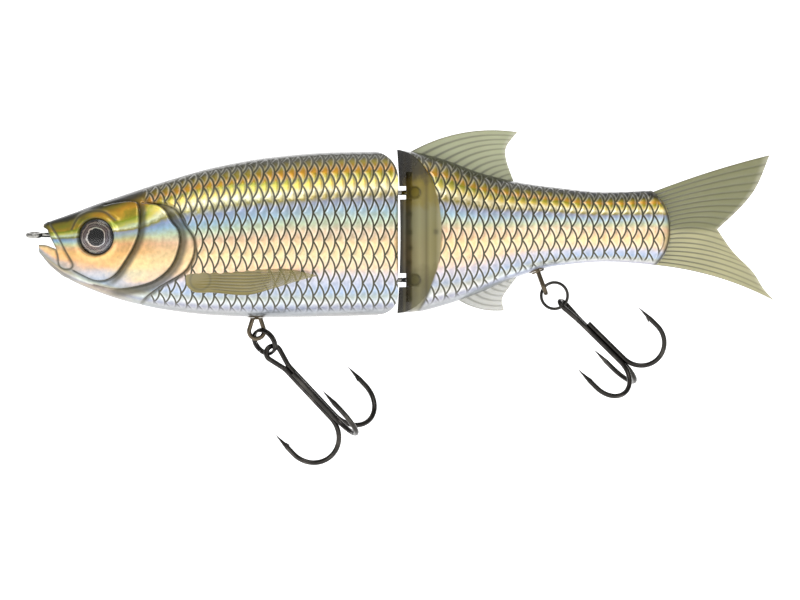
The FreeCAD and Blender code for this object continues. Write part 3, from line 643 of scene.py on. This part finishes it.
def wedge_point(t, z, y_flank):
    """Plan position on the leading wedge: t 0 is the tip on the middle plane, 1 is the flank."""
    y = t * y_flank
    x = np.maximum(WEDGE_TIP_X + WEDGE_SLOPE * y, wedge_hollow(z))
    turn = math.pi - (math.pi - math.asin(POCKET_MEET_Y / POCKET_R)) * np.clip(t / 0.5, 0, 1)
    slope_y = POCKET_MEET_Y + (y_flank - POCKET_MEET_Y) * np.clip((t - 0.5) / 0.5, 0, 1)
    on_slope = t > 0.5
    pocket_x = np.where(on_slope, WEDGE_TIP_X + WEDGE_SLOPE * slope_y, HINGE_X - POCKET_R * np.cos(turn))
    pocket_y = np.where(on_slope, slope_y, POCKET_R * np.sin(turn))
    for height in POCKET_HEIGHTS:
        inside = (np.abs(z - height) < POCKET_HALF) & (y_flank > POCKET_MEET_Y)
        x = np.where(inside, pocket_x, x)
        y = np.where(inside, pocket_y, y)
    return x, y


def rear_angles():
    """Angles up one side of the rear section, with a close pair at each edge of the pockets."""
    top, bottom, _ = profile(REAR_STATIONS, np.array([POCKET_EDGE_X]))
    edges = []
    for height in POCKET_HEIGHTS:
        for z_edge in (height - POCKET_HALF, height + POCKET_HALF):
            level = np.clip(((top + bottom) / 2 - z_edge) / ((top - bottom) / 2), -1, 1)
            angle = np.arccos(np.sign(level) * np.abs(level) ** (SECTION_POWER / 2))[0]
            edges += [angle - POCKET_EDGE_TURN, angle + POCKET_EDGE_TURN]
    return np.unique(np.concatenate([np.linspace(0, math.pi, REAR_HALF_COLUMNS), edges]))


def flank_start(angles):
    """Where the wedge meets the flank at each angle, found by closing in on it."""
    start = np.full(angles.shape, 91.0)
    for _ in range(30):
        y, z = section_points(REAR_STATIONS, start, angles)
        start = np.maximum(WEDGE_TIP_X + WEDGE_SLOPE * np.abs(y), wedge_hollow(z))
    return start


def wedge_part(angles, start, values):
    """Points of the wedge from its tip to the flank, and the numbers its material reads."""
    y_flank, z_flank = section_points(REAR_STATIONS, start, angles)
    t = np.linspace(0, 1, WEDGE_ROWS, endpoint=False)[:, None]
    x, y = wedge_point(t, z_flank[None, :], np.abs(y_flank)[None, :])
    y = y * np.sign(np.sin(angles))[None, :]
    z = np.repeat(z_flank[None, :], WEDGE_ROWS, axis=0)
    dark = np.zeros(x.shape)
    for spot_x, spot_z in WEDGE_SPOTS:
        dark = np.maximum(dark, 0.75 * bell(np.hypot(x - spot_x, z - spot_z), 0.6))
    for height in POCKET_HEIGHTS:
        from_anchor = np.hypot(x - ANCHOR_X, z - height)
        disc = 0.55 * bell(from_anchor - ANCHOR_R, 0.28) + 0.3 * (from_anchor < ANCHOR_R)
        dark = np.maximum(dark, disc)
    numbers = {key: np.repeat(v[:1], WEDGE_ROWS, axis=0) for key, v in values.items()}
    numbers["glass"] = np.ones(x.shape)
    numbers["strength"] = np.zeros(x.shape)
    numbers["dark"] = dark
    numbers["body_x"] = x
    return np.stack([x, y, z], -1), numbers


def round_tail_end(x, points):
    """Rounds the rear section's end in the side view and in plan."""
    rise = quarter_circle(x - TAIL_ARC_X, TAIL_ARC_R)
    within = np.clip(points[..., 2], TAIL_ARC_Z - rise, TAIL_ARC_Z + rise)
    points[..., 2] = np.where(x > TAIL_ARC_X, within, points[..., 2])
    plan_x = TAIL_ARC_X + TAIL_ARC_R - TAIL_END_R
    half = quarter_circle(x - plan_x, TAIL_END_R)
    narrowed = np.clip(points[..., 1], -half, half)
    points[..., 1] = np.where(x > plan_x, narrowed, points[..., 1])


def rear_skin():
    """The rear section's skin in one piece, wedge and pockets included."""
    half_angles = rear_angles()
    angles = np.concatenate([half_angles, 2 * math.pi - half_angles[-2:0:-1]])
    start = flank_start(angles)
    s = np.linspace(0, 1, REAR_ROWS - TAIL_ARC_ROWS)[:, None]
    turn = np.linspace(0, math.pi / 2, TAIL_ARC_ROWS + 1)[1:, None]
    flank_x = start[None, :] * (1 - s) + TAIL_ARC_X * s
    arc_x = TAIL_ARC_X + TAIL_ARC_R * np.sin(turn) + np.zeros((1, len(angles)))
    x = np.vstack([flank_x, arc_x])
    y, z = section_points(REAR_STATIONS, x, np.broadcast_to(angles, x.shape))
    top, bottom, _ = profile(REAR_STATIONS, x)
    half = len(half_angles)
    arc = np.zeros(x.shape)
    arc[:, :half] = arc_rows(np.abs(y[:, :half]), z[:, :half], LATERAL_Z)
    arc[:, half:] = arc[:, half - 2 : 0 : -1]
    row_height = ROW_HEIGHT_FRONT + (ROW_HEIGHT_REAR - ROW_HEIGHT_FRONT) * step_up(x, 95.0, 125.0)
    values, relief = skin_values(x, y, z, arc, top, bottom, row_height, False)
    rows_in = np.arange(REAR_ROWS)[:, None] + np.zeros(x.shape)
    tail_end = TAIL_ARC_X + TAIL_ARC_R
    relief = relief * step_up(rows_in, 0, 4) * (1 - step_up(x, tail_end - 1.3, tail_end - 0.3))
    points = np.stack([x, y, z], -1)
    outward = np.stack([np.zeros(x.shape), y, z - (top + bottom) / 2], -1)
    points = points + grid_normals(points, outward) * relief[..., None]
    round_tail_end(x, points)
    wedge, wedge_values = wedge_part(angles, start, values)
    everything = np.concatenate([wedge, points])
    values = {key: np.concatenate([wedge_values[key], v]) for key, v in values.items()}
    rows, columns = everything.shape[:2]
    piece = make_object("rear_skin", everything, grid_faces(rows, columns, wrap=True), values)
    sharpen(piece, 50)
    return piece


# ---------------------------------------------------------------- materials


class Shader:
    """A material being wired up."""

    def __init__(self, name):
        self.material = bpy.data.materials.new(name)
        self.material.use_nodes = True
        self.tree = self.material.node_tree
        self.tree.nodes.clear()
        self.output = self.tree.nodes.new("ShaderNodeOutputMaterial")
        self.surface = self.tree.nodes.new("ShaderNodeBsdfPrincipled")
        self.join(self.surface.outputs[0], self.output.inputs["Surface"])

    def join(self, source, target):
        self.tree.links.new(source, target)

    def put(self, socket, value):
        """Links a socket to another one, or sets its value."""
        if isinstance(value, bpy.types.NodeSocket):
            self.join(value, socket)
        elif isinstance(value, tuple) and len(value) == 3:
            socket.default_value = (*value, 1.0) if socket.type == "RGBA" else value
        else:
            socket.default_value = value

    def set(self, **values):
        """Fills the surface's inputs, named with underscores for spaces."""
        for key, value in values.items():
            self.put(self.surface.inputs[key.replace("_", " ")], value)

    def math(self, operation, a, b=0.0, c=0.0):
        made = self.tree.nodes.new("ShaderNodeMath")
        made.operation = operation
        for socket, value in zip(made.inputs, (a, b, c)):
            self.put(socket, value)
        return made.outputs[0]

    def swing(self, value, amount, base):
        """The base, plus the amount times how far the value lies from one half."""
        return self.math("MULTIPLY_ADD", self.math("SUBTRACT", value, 0.5), amount, base)

    def value(self, name):
        made = self.tree.nodes.new("ShaderNodeAttribute")
        made.attribute_name = name
        return made.outputs["Fac"]

    def place(self):
        return self.tree.nodes.new("ShaderNodeTexCoord").outputs["Object"]

    def noise(self, scale, detail=3.0, vector=None):
        made = self.tree.nodes.new("ShaderNodeTexNoise")
        made.inputs["Scale"].default_value = scale
        made.inputs["Detail"].default_value = detail
        self.join(vector or self.place(), made.inputs["Vector"])
        return made.outputs["Fac"]

    def ramp(self, factor, stops):
        made = self.tree.nodes.new("ShaderNodeValToRGB")
        elements = made.color_ramp.elements
        while len(elements) < len(stops):
            elements.new(0.5)
        for element, (position, colour) in zip(elements, stops):
            element.position = position
            element.color = (*colour, 1.0)
        self.join(factor, made.inputs[0])
        return made.outputs[0]

    def mix(self, factor, a, b, way="MIX"):
        made = self.tree.nodes.new("ShaderNodeMix")
        made.data_type = "RGBA"
        made.blend_type = way
        self.put(made.inputs["Factor"], factor)
        self.put(made.inputs["A"], a)
        self.put(made.inputs["B"], b)
        return made.outputs["Result"]

    def smooth(self, value, low, high):
        made = self.tree.nodes.new("ShaderNodeMapRange")
        made.interpolation_type = "SMOOTHSTEP"
        self.put(made.inputs["Value"], value)
        made.inputs["From Min"].default_value = low
        made.inputs["From Max"].default_value = high
        return made.outputs["Result"]

    def bump(self, height, strength, distance):
        made = self.tree.nodes.new("ShaderNodeBump")
        made.inputs["Strength"].default_value = strength
        made.inputs["Distance"].default_value = distance
        self.join(height, made.inputs["Height"])
        self.join(made.outputs[0], self.surface.inputs["Normal"])


def scale_edge(shader, u, v, row_height):
    """Distance in millimetres to the nearest scale edge, as nodes."""
    gaps = []
    for offset in (0.0, 1.0):
        row = shader.math("ADD", shader.math("FLOOR", v), offset)
        t = shader.math("SUBTRACT", v, row)
        phase = shader.math("MULTIPLY", shader.math("FLOORED_MODULO", row, 2.0), 0.5)
        square = shader.math("MULTIPLY", t, t)
        g = shader.math("MULTIPLY_ADD", square, 0.5, shader.math("SUBTRACT", u, phase))
        away = shader.math("SUBTRACT", g, shader.math("ROUND", g))
        steep = shader.math("MULTIPLY_ADD", square, 1 / row_height**2, 1 / SCALE_PITCH**2)
        gaps.append(shader.math("DIVIDE", shader.math("ABSOLUTE", away), shader.math("SQRT", steep)))
    return shader.math("MINIMUM", *gaps)


def foil_and_highlight_colour(s, grain):
    """Painted rainbow reflections and highlights in bands by height that sway along the body, most of all
    on the head.
    """
    stretch = s.tree.nodes.new("ShaderNodeMapping")
    stretch.inputs["Scale"].default_value = (0.35, 1.0, 1.6)
    s.join(s.place(), stretch.inputs["Vector"])
    drift = s.noise(85.0, 2.0, stretch.outputs[0])
    rear = s.smooth(s.value("body_x"), 95.0, 140.0)
    head = s.math("SUBTRACT", 1.0, s.smooth(s.value("body_x"), 24.0, 34.0))
    above_belly = s.smooth(s.value("height"), 0.08, 0.2)
    sway = s.math("MULTIPLY", s.math("MULTIPLY_ADD", head, 0.34, 0.09), above_belly)
    height = s.swing(drift, sway, s.value("height"))
    height = s.swing(grain, s.math("MULTIPLY", above_belly, 0.04), height)
    height = s.math("MULTIPLY_ADD", rear, 0.05, height)
    height = s.math("MULTIPLY_ADD", s.math("MULTIPLY", head, above_belly), 0.045, height)
    patches = s.ramp(s.noise(95.0, 1.0, stretch.outputs[0]), FOIL_PATCHES)
    weight = s.math("MULTIPLY_ADD", head, 0.5, 0.25)
    return s.mix(weight, s.ramp(height, FOIL_BANDS_WITH_PAINTED_HIGHLIGHTS), patches, "MULTIPLY")


def smoke_colour(s):
    """Dark and pale bands of the hollow seen through the wedge."""
    across = s.smooth(s.value("body_x"), SMOKE_FROM_X, SMOKE_TO_X)
    level = s.swing(s.noise(420.0, 3.0), 0.12, s.value("height"))
    return s.mix(1.0, s.ramp(across, SMOKE_BANDS), s.ramp(level, SMOKE_SHADES), "MULTIPLY")


def foil_and_highlight_material():
    """Holographic foil printed with scales under a clear coat, with a clear smoky wedge, painted
    reflections and highlights.
    """
    s = Shader("holographic_foil_painted_highlights")
    grain = s.noise(900.0, 2.0)
    strength, dark, glass = s.value("strength"), s.value("dark"), s.value("glass")
    edge = scale_edge(s, s.value("scale_u"), s.value("scale_v"), ROW_HEIGHT_FRONT)
    line = s.math("MULTIPLY", s.math("SUBTRACT", 1.0, s.smooth(edge, 0.13, 0.3)), strength)
    shine = s.math("SUBTRACT", s.smooth(edge, 0.2, 0.34), s.smooth(edge, 0.34, 0.7))
    shine = s.math("MULTIPLY", s.math("MULTIPLY", shine, 0.22), strength)
    colour = s.mix(shine, foil_and_highlight_colour(s, grain), SCALE_GLINT)
    fleck = s.swing(grain, 0.7, 1.0)
    tone = s.tree.nodes.new("ShaderNodeCombineColor")
    for socket in tone.inputs:
        s.join(fleck, socket)
    colour = s.mix(1.0, colour, tone.outputs[0], "MULTIPLY")
    colour = s.mix(line, colour, SCALE_INK)
    colour = s.mix(glass, colour, smoke_colour(s))
    colour = s.mix(dark, colour, SHADE_INK)
    metal = s.math("MULTIPLY_ADD", s.math("MAXIMUM", line, dark), -0.55, 0.62)
    metal = s.math("MULTIPLY", metal, s.math("SUBTRACT", 1.0, glass))
    rough = s.math("MULTIPLY_ADD", grain, 0.16, 0.24)
    opaque = s.math("MULTIPLY_ADD", glass, -0.16, 1.0)
    s.set(Base_Color=colour, Metallic=metal, Roughness=rough, Alpha=opaque)
    s.set(Coat_Weight=0.55, Coat_Roughness=0.05, Specular_IOR_Level=0.35)
    s.bump(grain, 0.12, 0.00008)
    return s.material


def metal_material(name, colour, roughness, worn):
    """Polished wire with faint drawing marks and lighter worn patches."""
    s = Shader(name)
    patches = s.smooth(s.noise(260.0, 4.0), 0.45, 0.75)
    fine = s.noise(2600.0, 2.0)
    s.set(Base_Color=s.mix(patches, colour, worn), Metallic=1.0)
    s.set(Roughness=s.math("MULTIPLY_ADD", fine, 0.16, roughness))
    s.bump(fine, 0.1, 0.00003)
    return s.material


def ray_distance(s):
    """How far a point lies from the nearest ray, as a share of the gap between rays."""
    t = s.value("fin_t")
    return s.math("ABSOLUTE", s.math("SUBTRACT", t, s.math("ROUND", t)))


def fin_material(name, upper, lower, alpha, ray_colour=RAY_COLOUR):
    """Soft translucent plastic with darker rays, and another colour below the tail's fork."""
    s = Shader(name)
    spread = s.value("fin_s")
    ray = s.math("SUBTRACT", 1.0, s.smooth(ray_distance(s), 0.03, 0.3))
    body = s.mix(s.smooth(s.value("fin_z"), 0.0, 2.4), lower, upper)
    cloud = s.smooth(s.noise(180.0, 3.0), 0.3, 0.8)
    body = s.mix(s.math("MULTIPLY", cloud, 0.25), body, (0.30, 0.29, 0.18))
    edge = s.smooth(spread, 0.93, 1.0)
    body = s.mix(s.math("MULTIPLY", edge, 0.4), body, (0.75, 0.73, 0.60))
    weight = s.math("MULTIPLY_ADD", spread, -0.45, 0.9)
    body = s.mix(s.math("MULTIPLY", ray, weight), body, ray_colour)
    clear = s.math("MULTIPLY_ADD", spread, -0.08, s.math("MULTIPLY_ADD", ray, 0.1, alpha))
    s.set(Base_Color=body, Roughness=0.32, Alpha=clear, Coat_Weight=0.35, Coat_Roughness=0.15)
    s.set(Subsurface_Weight=0.15, Subsurface_Radius=(0.002, 0.002, 0.001))
    s.bump(s.noise(900.0, 2.0), 0.15, 0.00005)
    return s.material


def pectoral_material():
    """Olive soft plastic, opaque at the root and clearer towards the tip."""
    s = Shader("pectoral_plastic")
    along = s.value("fin_s")
    ray = s.math("SUBTRACT", 1.0, s.smooth(ray_distance(s), 0.06, 0.26))
    ray = s.math("MULTIPLY", ray, s.smooth(along, 0.2, 0.3))
    cloud = s.smooth(s.noise(400.0, 3.0), 0.3, 0.7)
    body = s.mix(s.math("MULTIPLY", cloud, 0.2), s.ramp(along, PECTORAL_BANDS), (0.17, 0.15, 0.05))
    body = s.mix(s.math("MULTIPLY", ray, 0.6), body, (0.07, 0.06, 0.02))
    body = s.mix(s.math("MULTIPLY", s.value("boss_rim"), 0.6), body, (0.10, 0.09, 0.03))
    clear = s.math("MULTIPLY_ADD", s.smooth(along, 0.4, 0.75), -0.42, 0.94)
    s.set(Base_Color=body, Roughness=0.3, Alpha=clear, Coat_Weight=0.3, Coat_Roughness=0.15)
    s.bump(cloud, 0.1, 0.00004)
    return s.material


def plain_material(name, colour, other, metallic, roughness, scale):
    """A mottled surface between two close colours."""
    s = Shader(name)
    mottled = s.smooth(s.noise(scale, 3.0), 0.35, 0.7)
    s.set(Base_Color=s.mix(mottled, colour, other), Metallic=metallic)
    s.set(Roughness=s.math("MULTIPLY_ADD", mottled, 0.1, roughness))
    s.bump(mottled, 0.1, 0.00003)
    return s.material


def iris_material():
    """Black pupil, streaked foil iris, silver ring and dark rim, by distance from the eye's axis."""
    s = Shader("eye_foil")
    wobble = s.swing(s.noise(700.0, 4.0), 1.3, s.value("eye_r"))
    rings = s.ramp(s.math("DIVIDE", wobble, EYE_R), IRIS_RINGS)
    tint = s.ramp(s.noise(160.0, 1.0), IRIS_TINTS)
    s.set(Base_Color=s.mix(0.6, rings, tint, "MULTIPLY"), Metallic=0.5, Roughness=0.2)
    s.set(Coat_Weight=1.0, Coat_Roughness=0.02)
    return s.material


def lens_material():
    """Clear epoxy with a trace of haze."""
    s = Shader("clear_epoxy")
    haze = s.noise(500.0, 2.0)
    s.set(Base_Color=(0.02, 0.02, 0.02), Roughness=0.03, Alpha=s.math("MULTIPLY_ADD", haze, 0.04, 0.06))
    s.set(Coat_Weight=1.0, Coat_Roughness=0.01)
    return s.material


# ---------------------------------------------------------------- pieces


def assign(piece, material):
    piece.data.materials.clear()
    piece.data.materials.append(material)


def finish_node(name, material):
    """A new material on a CAD node that stays."""
    node = NODES[name]
    meshes = [o for o in [node, *node.children_recursive] if o.type == "MESH"]
    for piece in meshes:
        if not piece.data.materials:
            piece.data.materials.append(material)
        for slot in piece.material_slots:
            slot.material = material


def make_body(foil):
    """The skins of both sections, in place of the four plain half shells."""
    for side, y_sign in (("left", -1), ("right", 1)):
        skin = front_skin(y_sign)
        assign(skin, foil)
        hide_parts("front_shell_" + side)
        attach(skin, "front_section")
    rear = rear_skin()
    assign(rear, foil)
    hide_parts("rear_shell_left", "rear_shell_right")
    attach(rear, "rear_section")


def eye_dome(name, y_sign, dome, sink):
    """A closed round cap on the eye's axis, this high at its middle and sunk this deep."""
    yaw = math.radians(EYE_YAW)
    out = np.array([-math.sin(yaw), y_sign * math.cos(yaw), 0])
    across = np.array([math.cos(yaw), y_sign * math.sin(yaw), 0])
    up = np.array([0, 0, 1.0])
    floor = np.array([EYE_X, y_sign * EYE_SURFACE_Y, EYE_Z]) - out * 0.55
    turn = np.linspace(0, 2 * math.pi, EYE_SIDES, endpoint=False)[None, :]
    ring = across[None, None] * np.cos(turn)[..., None] + up[None, None] * np.sin(turn)[..., None]
    radius = EYE_R * np.sin(np.linspace(0, math.pi / 2, EYE_RINGS))[:, None]
    rise = dome * np.sqrt(np.clip(1 - (radius / (EYE_R * 1.02)) ** 2, 0, 1))
    front = floor + ring * radius[..., None] + out[None, None] * rise[..., None]
    back = floor + ring * EYE_R - out[None, None] * (0.3 + sink)
    distance = np.concatenate([radius + 0 * turn, np.full((1, EYE_SIDES), EYE_R)])
    rows = EYE_RINGS + 1
    faces = grid_faces(rows, EYE_SIDES, wrap=True)
    faces.append(list(range(EYE_RINGS * EYE_SIDES, rows * EYE_SIDES)))
    piece = make_object(name, np.concatenate([front, back]), faces, {"eye_r": distance})
    sharpen(piece, 60)
    return piece


def make_eye(side, y_sign, iris, glass):
    """Painted foil under a clear cap, seated in the head."""
    foil = eye_dome("eye_foil_" + side, y_sign, 0.7, 0.9)
    cap = eye_dome("eye_cap_" + side, y_sign, 1.3, 0.0)
    assign(foil, iris)
    assign(cap, glass)
    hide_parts("eye_iris_" + side)
    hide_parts("eye_lens_" + side)
    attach(foil, "front_section")
    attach(cap, "front_section")


def rayed_fin(name, root, edge, rays, thick, bow):
    """A rayed fin in the middle plane from its root line to its free edge.

    root and edge give points at fractions of their length. bow is how far the rays arch sideways
    at the first and at the last of them.
    """
    t = np.linspace(0, 1, rays * COLUMNS_PER_RAY + 1)
    start, end = root(t), edge(t)
    s = np.linspace(0, 1, FIN_ROWS)[:, None]
    way = end - start
    side = np.stack([-way[:, 1], way[:, 0]], -1)
    side /= np.maximum(np.linalg.norm(side, axis=1, keepdims=True), 1e-6)
    arch = (bow[0] + (bow[1] - bow[0]) * t)[:, None] * side
    rib = s[..., None]
    plane = start[None] * (1 - rib) + end[None] * rib + arch[None] * 4 * rib * (1 - rib)
    ray = 0.5 + 0.5 * np.cos(2 * np.pi * rays * t)[None, :]
    half = (thick + (FIN_EDGE_THICK - thick) * s**0.8) / 2 * (1 - RAY_GROOVE * ray**6)
    middle = np.stack([plane[..., 0], np.zeros(half.shape), plane[..., 1]], -1)
    values = {"fin_s": s + 0 * ray, "fin_t": 0 * s + t[None, :] * rays, "fin_z": plane[..., 1]}
    return thick_sheet(name, middle, (0, 1, 0), half, values)


def tail_root(t):
    """Points down the round end of the rear section."""
    turn = np.radians(TAIL_ROOT_START - t * TAIL_ROOT_SWEEP)
    return np.stack([TAIL_ARC_X + TAIL_ROOT_R * np.cos(turn), TAIL_ARC_Z + TAIL_ROOT_R * np.sin(turn)], -1)


def tail_edge(t):
    """Points down the forked edge of the tail."""
    upper = along_path(TAIL_UPPER_EDGE, np.clip(t / 0.5, 0, 1))
    lower = along_path(TAIL_LOWER_EDGE, np.clip((t - 0.5) / 0.5, 0, 1))
    return np.where((t < 0.5)[:, None], upper, lower)


def make_tail(material):
    """The forked soft tail."""
    piece = rayed_fin("soft_tail", tail_root, tail_edge, TAIL_RAYS, 1.6, (0.5, 1.5))
    assign(piece, material)
    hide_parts("tail_fin", "tail_root")
    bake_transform(piece)


def make_centre_fin(node, root_line, edge_line, rays, thick, bow, material):
    """A fin on the rear section's middle plane, in place of its plain CAD node."""

    def root(t):
        return along_path(root_line, t)

    def edge(t):
        return along_path(edge_line, t)

    piece = rayed_fin("soft_" + node, root, edge, rays, thick, (bow, 0.0))
    assign(piece, material)
    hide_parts(node)
    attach(piece, "rear_section")


def make_pectoral(side, y_sign, material):
    """A blade that stands off the flank towards its tip."""
    s = np.linspace(0, 1, PECTORAL_ROWS)
    t = np.linspace(0, 1, PECTORAL_COLUMNS)[None, :]
    upper, lower = along_path(PECTORAL_UPPER, s)[:, None], along_path(PECTORAL_LOWER, s)[:, None]
    plane = upper * (1 - t[..., None]) + lower * t[..., None]
    x, z = plane[..., 0], plane[..., 1]
    along = s[:, None]
    ray = np.cos(2 * np.pi * PECTORAL_RAYS * t) / 2
    boss = np.exp(-(((x - 41.6) / 3.0) ** 2) - ((z + 11.2) / 2.6) ** 2)
    ribs = 0.05 * step_up(along, 0.10, 0.25) * ray * (1 - 0.5 * along)
    half = 0.42 - 0.2 * along + 0.3 * boss + ribs
    half = half * np.clip(np.sin(np.pi * np.clip(t, 0.02, 0.98)) * 3, 0.25, 1)
    root = np.array(PECTORAL_ROOT)
    middle = np.stack([x, 0 * x, z], -1) - root
    middle = turned(turned(middle, "X", PECTORAL_ROLL), "Z", PECTORAL_YAW)
    out = turned(turned(np.array([0.0, 1.0, 0.0]), "X", PECTORAL_ROLL), "Z", PECTORAL_YAW)
    middle = middle + root + np.array([0, PECTORAL_ROOT_Y, 0])
    middle[..., 1] *= -y_sign
    out[1] *= -y_sign
    boss_rim = bell(np.hypot(x - BOSS_X, z - BOSS_Z) - BOSS_R, 0.3)
    values = {"fin_s": along + 0 * t, "fin_t": t * PECTORAL_RAYS + 0 * along, "boss_rim": boss_rim}
    piece = thick_sheet("soft_pectoral_" + side, middle, out, half, values)
    assign(piece, material)
    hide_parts("pectoral_fin_" + side)
    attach(piece, "front_section")


def make_fins():
    """Pectorals on the front section, and the tail, dorsal and anal fins on the rear one."""
    pectoral = pectoral_material()
    make_pectoral("left", -1, pectoral)
    make_pectoral("right", 1, pectoral)
    make_tail(fin_material("tail_plastic", TAIL_UPPER_COLOUR, TAIL_LOWER_COLOUR, 0.95))
    dorsal = fin_material("dorsal_plastic", DORSAL_COLOUR, DORSAL_COLOUR, 0.92)
    make_centre_fin("dorsal_fin", DORSAL_ROOT, DORSAL_EDGE, DORSAL_RAYS, 1.5, 2.3, dorsal)
    anal = fin_material("anal_plastic", ANAL_COLOUR, ANAL_COLOUR, 0.62, ANAL_RAY_COLOUR)
    make_centre_fin("anal_fin", ANAL_ROOT, ANAL_EDGE, ANAL_RAYS, 1.4, -1.1, anal)


def dress_wire():
    """New materials on the CAD nodes that stay."""
    black = metal_material("black_nickel", (0.035, 0.033, 0.03), 0.14, (0.085, 0.078, 0.07))
    smoked = metal_material("smoked_wire", (0.10, 0.08, 0.055), 0.16, (0.22, 0.18, 0.12))
    steel = metal_material("stainless_wire", (0.26, 0.255, 0.24), 0.18, (0.42, 0.41, 0.38))
    lead = plain_material("ballast_alloy", (0.22, 0.22, 0.23), (0.34, 0.34, 0.35), 1.0, 0.45, 300.0)
    for name in NODES:
        if "treble" in name or "split_ring" in name:
            finish_node(name, black)
        elif "hanger" in name:
            finish_node(name, smoked)
        elif name in ("line_tie", "hinge_pin") or name.startswith("joint_eye"):
            finish_node(name, steel)
        elif name.endswith("ballast"):
            finish_node(name, lead)


# ---------------------------------------------------------------- studio


def make_floor():
    """A pale sheet of paper that runs back and curves up into a wall."""
    turn = np.linspace(0, math.pi / 2, 17)
    line = [(FLOOR_FRONT, FLOOR_Z)]
    for angle in turn:
        y = FLOOR_BACK + FLOOR_CURVE * math.sin(angle)
        z = FLOOR_Z + FLOOR_CURVE - FLOOR_CURVE * math.cos(angle)
        line.append((y, z))
    line.append((FLOOR_BACK + FLOOR_CURVE, WALL_TOP))
    points = np.array([(x, y, z) for y, z in line for x in (-FLOOR_HALF, FLOOR_HALF)]) / MM
    floor = make_object("studio_floor", points, grid_faces(len(line), 2))
    paper = plain_material("studio_paper", (0.93, 0.93, 0.93), (0.95, 0.95, 0.95), 0.0, 0.9, 3.0)
    surface = paper.node_tree.nodes["Principled BSDF"]
    surface.inputs["Emission Color"].default_value = (1, 1, 1, 1)
    surface.inputs["Emission Strength"].default_value = PAPER_GLOW
    assign(floor, paper)


def make_lights():
    """An even white sky and soft square lamps turned to the bait."""
    world = bpy.data.worlds.new("studio")
    world.use_nodes = True
    sky = world.node_tree.nodes["Background"]
    sky.inputs["Color"].default_value = (1, 1, 1, 1)
    sky.inputs["Strength"].default_value = SKY_STRENGTH
    bpy.context.scene.world = world
    for name, place, size, power in LAMPS:
        lamp = bpy.data.lights.new(name, "AREA")
        lamp.size = size
        lamp.energy = power
        holder = bpy.data.objects.new(name, lamp)
        holder.location = place
        holder.rotation_euler = (LAMP_AIM - Vector(place)).to_track_quat("-Z", "Y").to_euler()
        bpy.context.scene.collection.objects.link(holder)


def make_camera():
    """Level with the bait and square to its flank, far back with a long lens."""
    camera = bpy.data.cameras.new("camera")
    camera.sensor_width = SENSOR_WIDTH
    camera.lens = SENSOR_WIDTH * CAMERA_DISTANCE / VIEW_WIDTH
    camera.clip_end = 20.0
    holder = bpy.data.objects.new("camera", camera)
    holder.location = (CAMERA_X, -CAMERA_DISTANCE, CAMERA_Z)
    holder.rotation_euler = (math.pi / 2, 0, 0)
    bpy.context.scene.collection.objects.link(holder)
    bpy.context.scene.camera = holder
    bpy.context.scene.view_settings.view_transform = "Standard"


def main():
    make_body(foil_and_highlight_material())
    iris, glass = iris_material(), lens_material()
    make_eye("left", -1, iris, glass)
    make_eye("right", 1, iris, glass)
    make_fins()
    dress_wire()
    make_floor()
    make_lights()
    make_camera()


main()
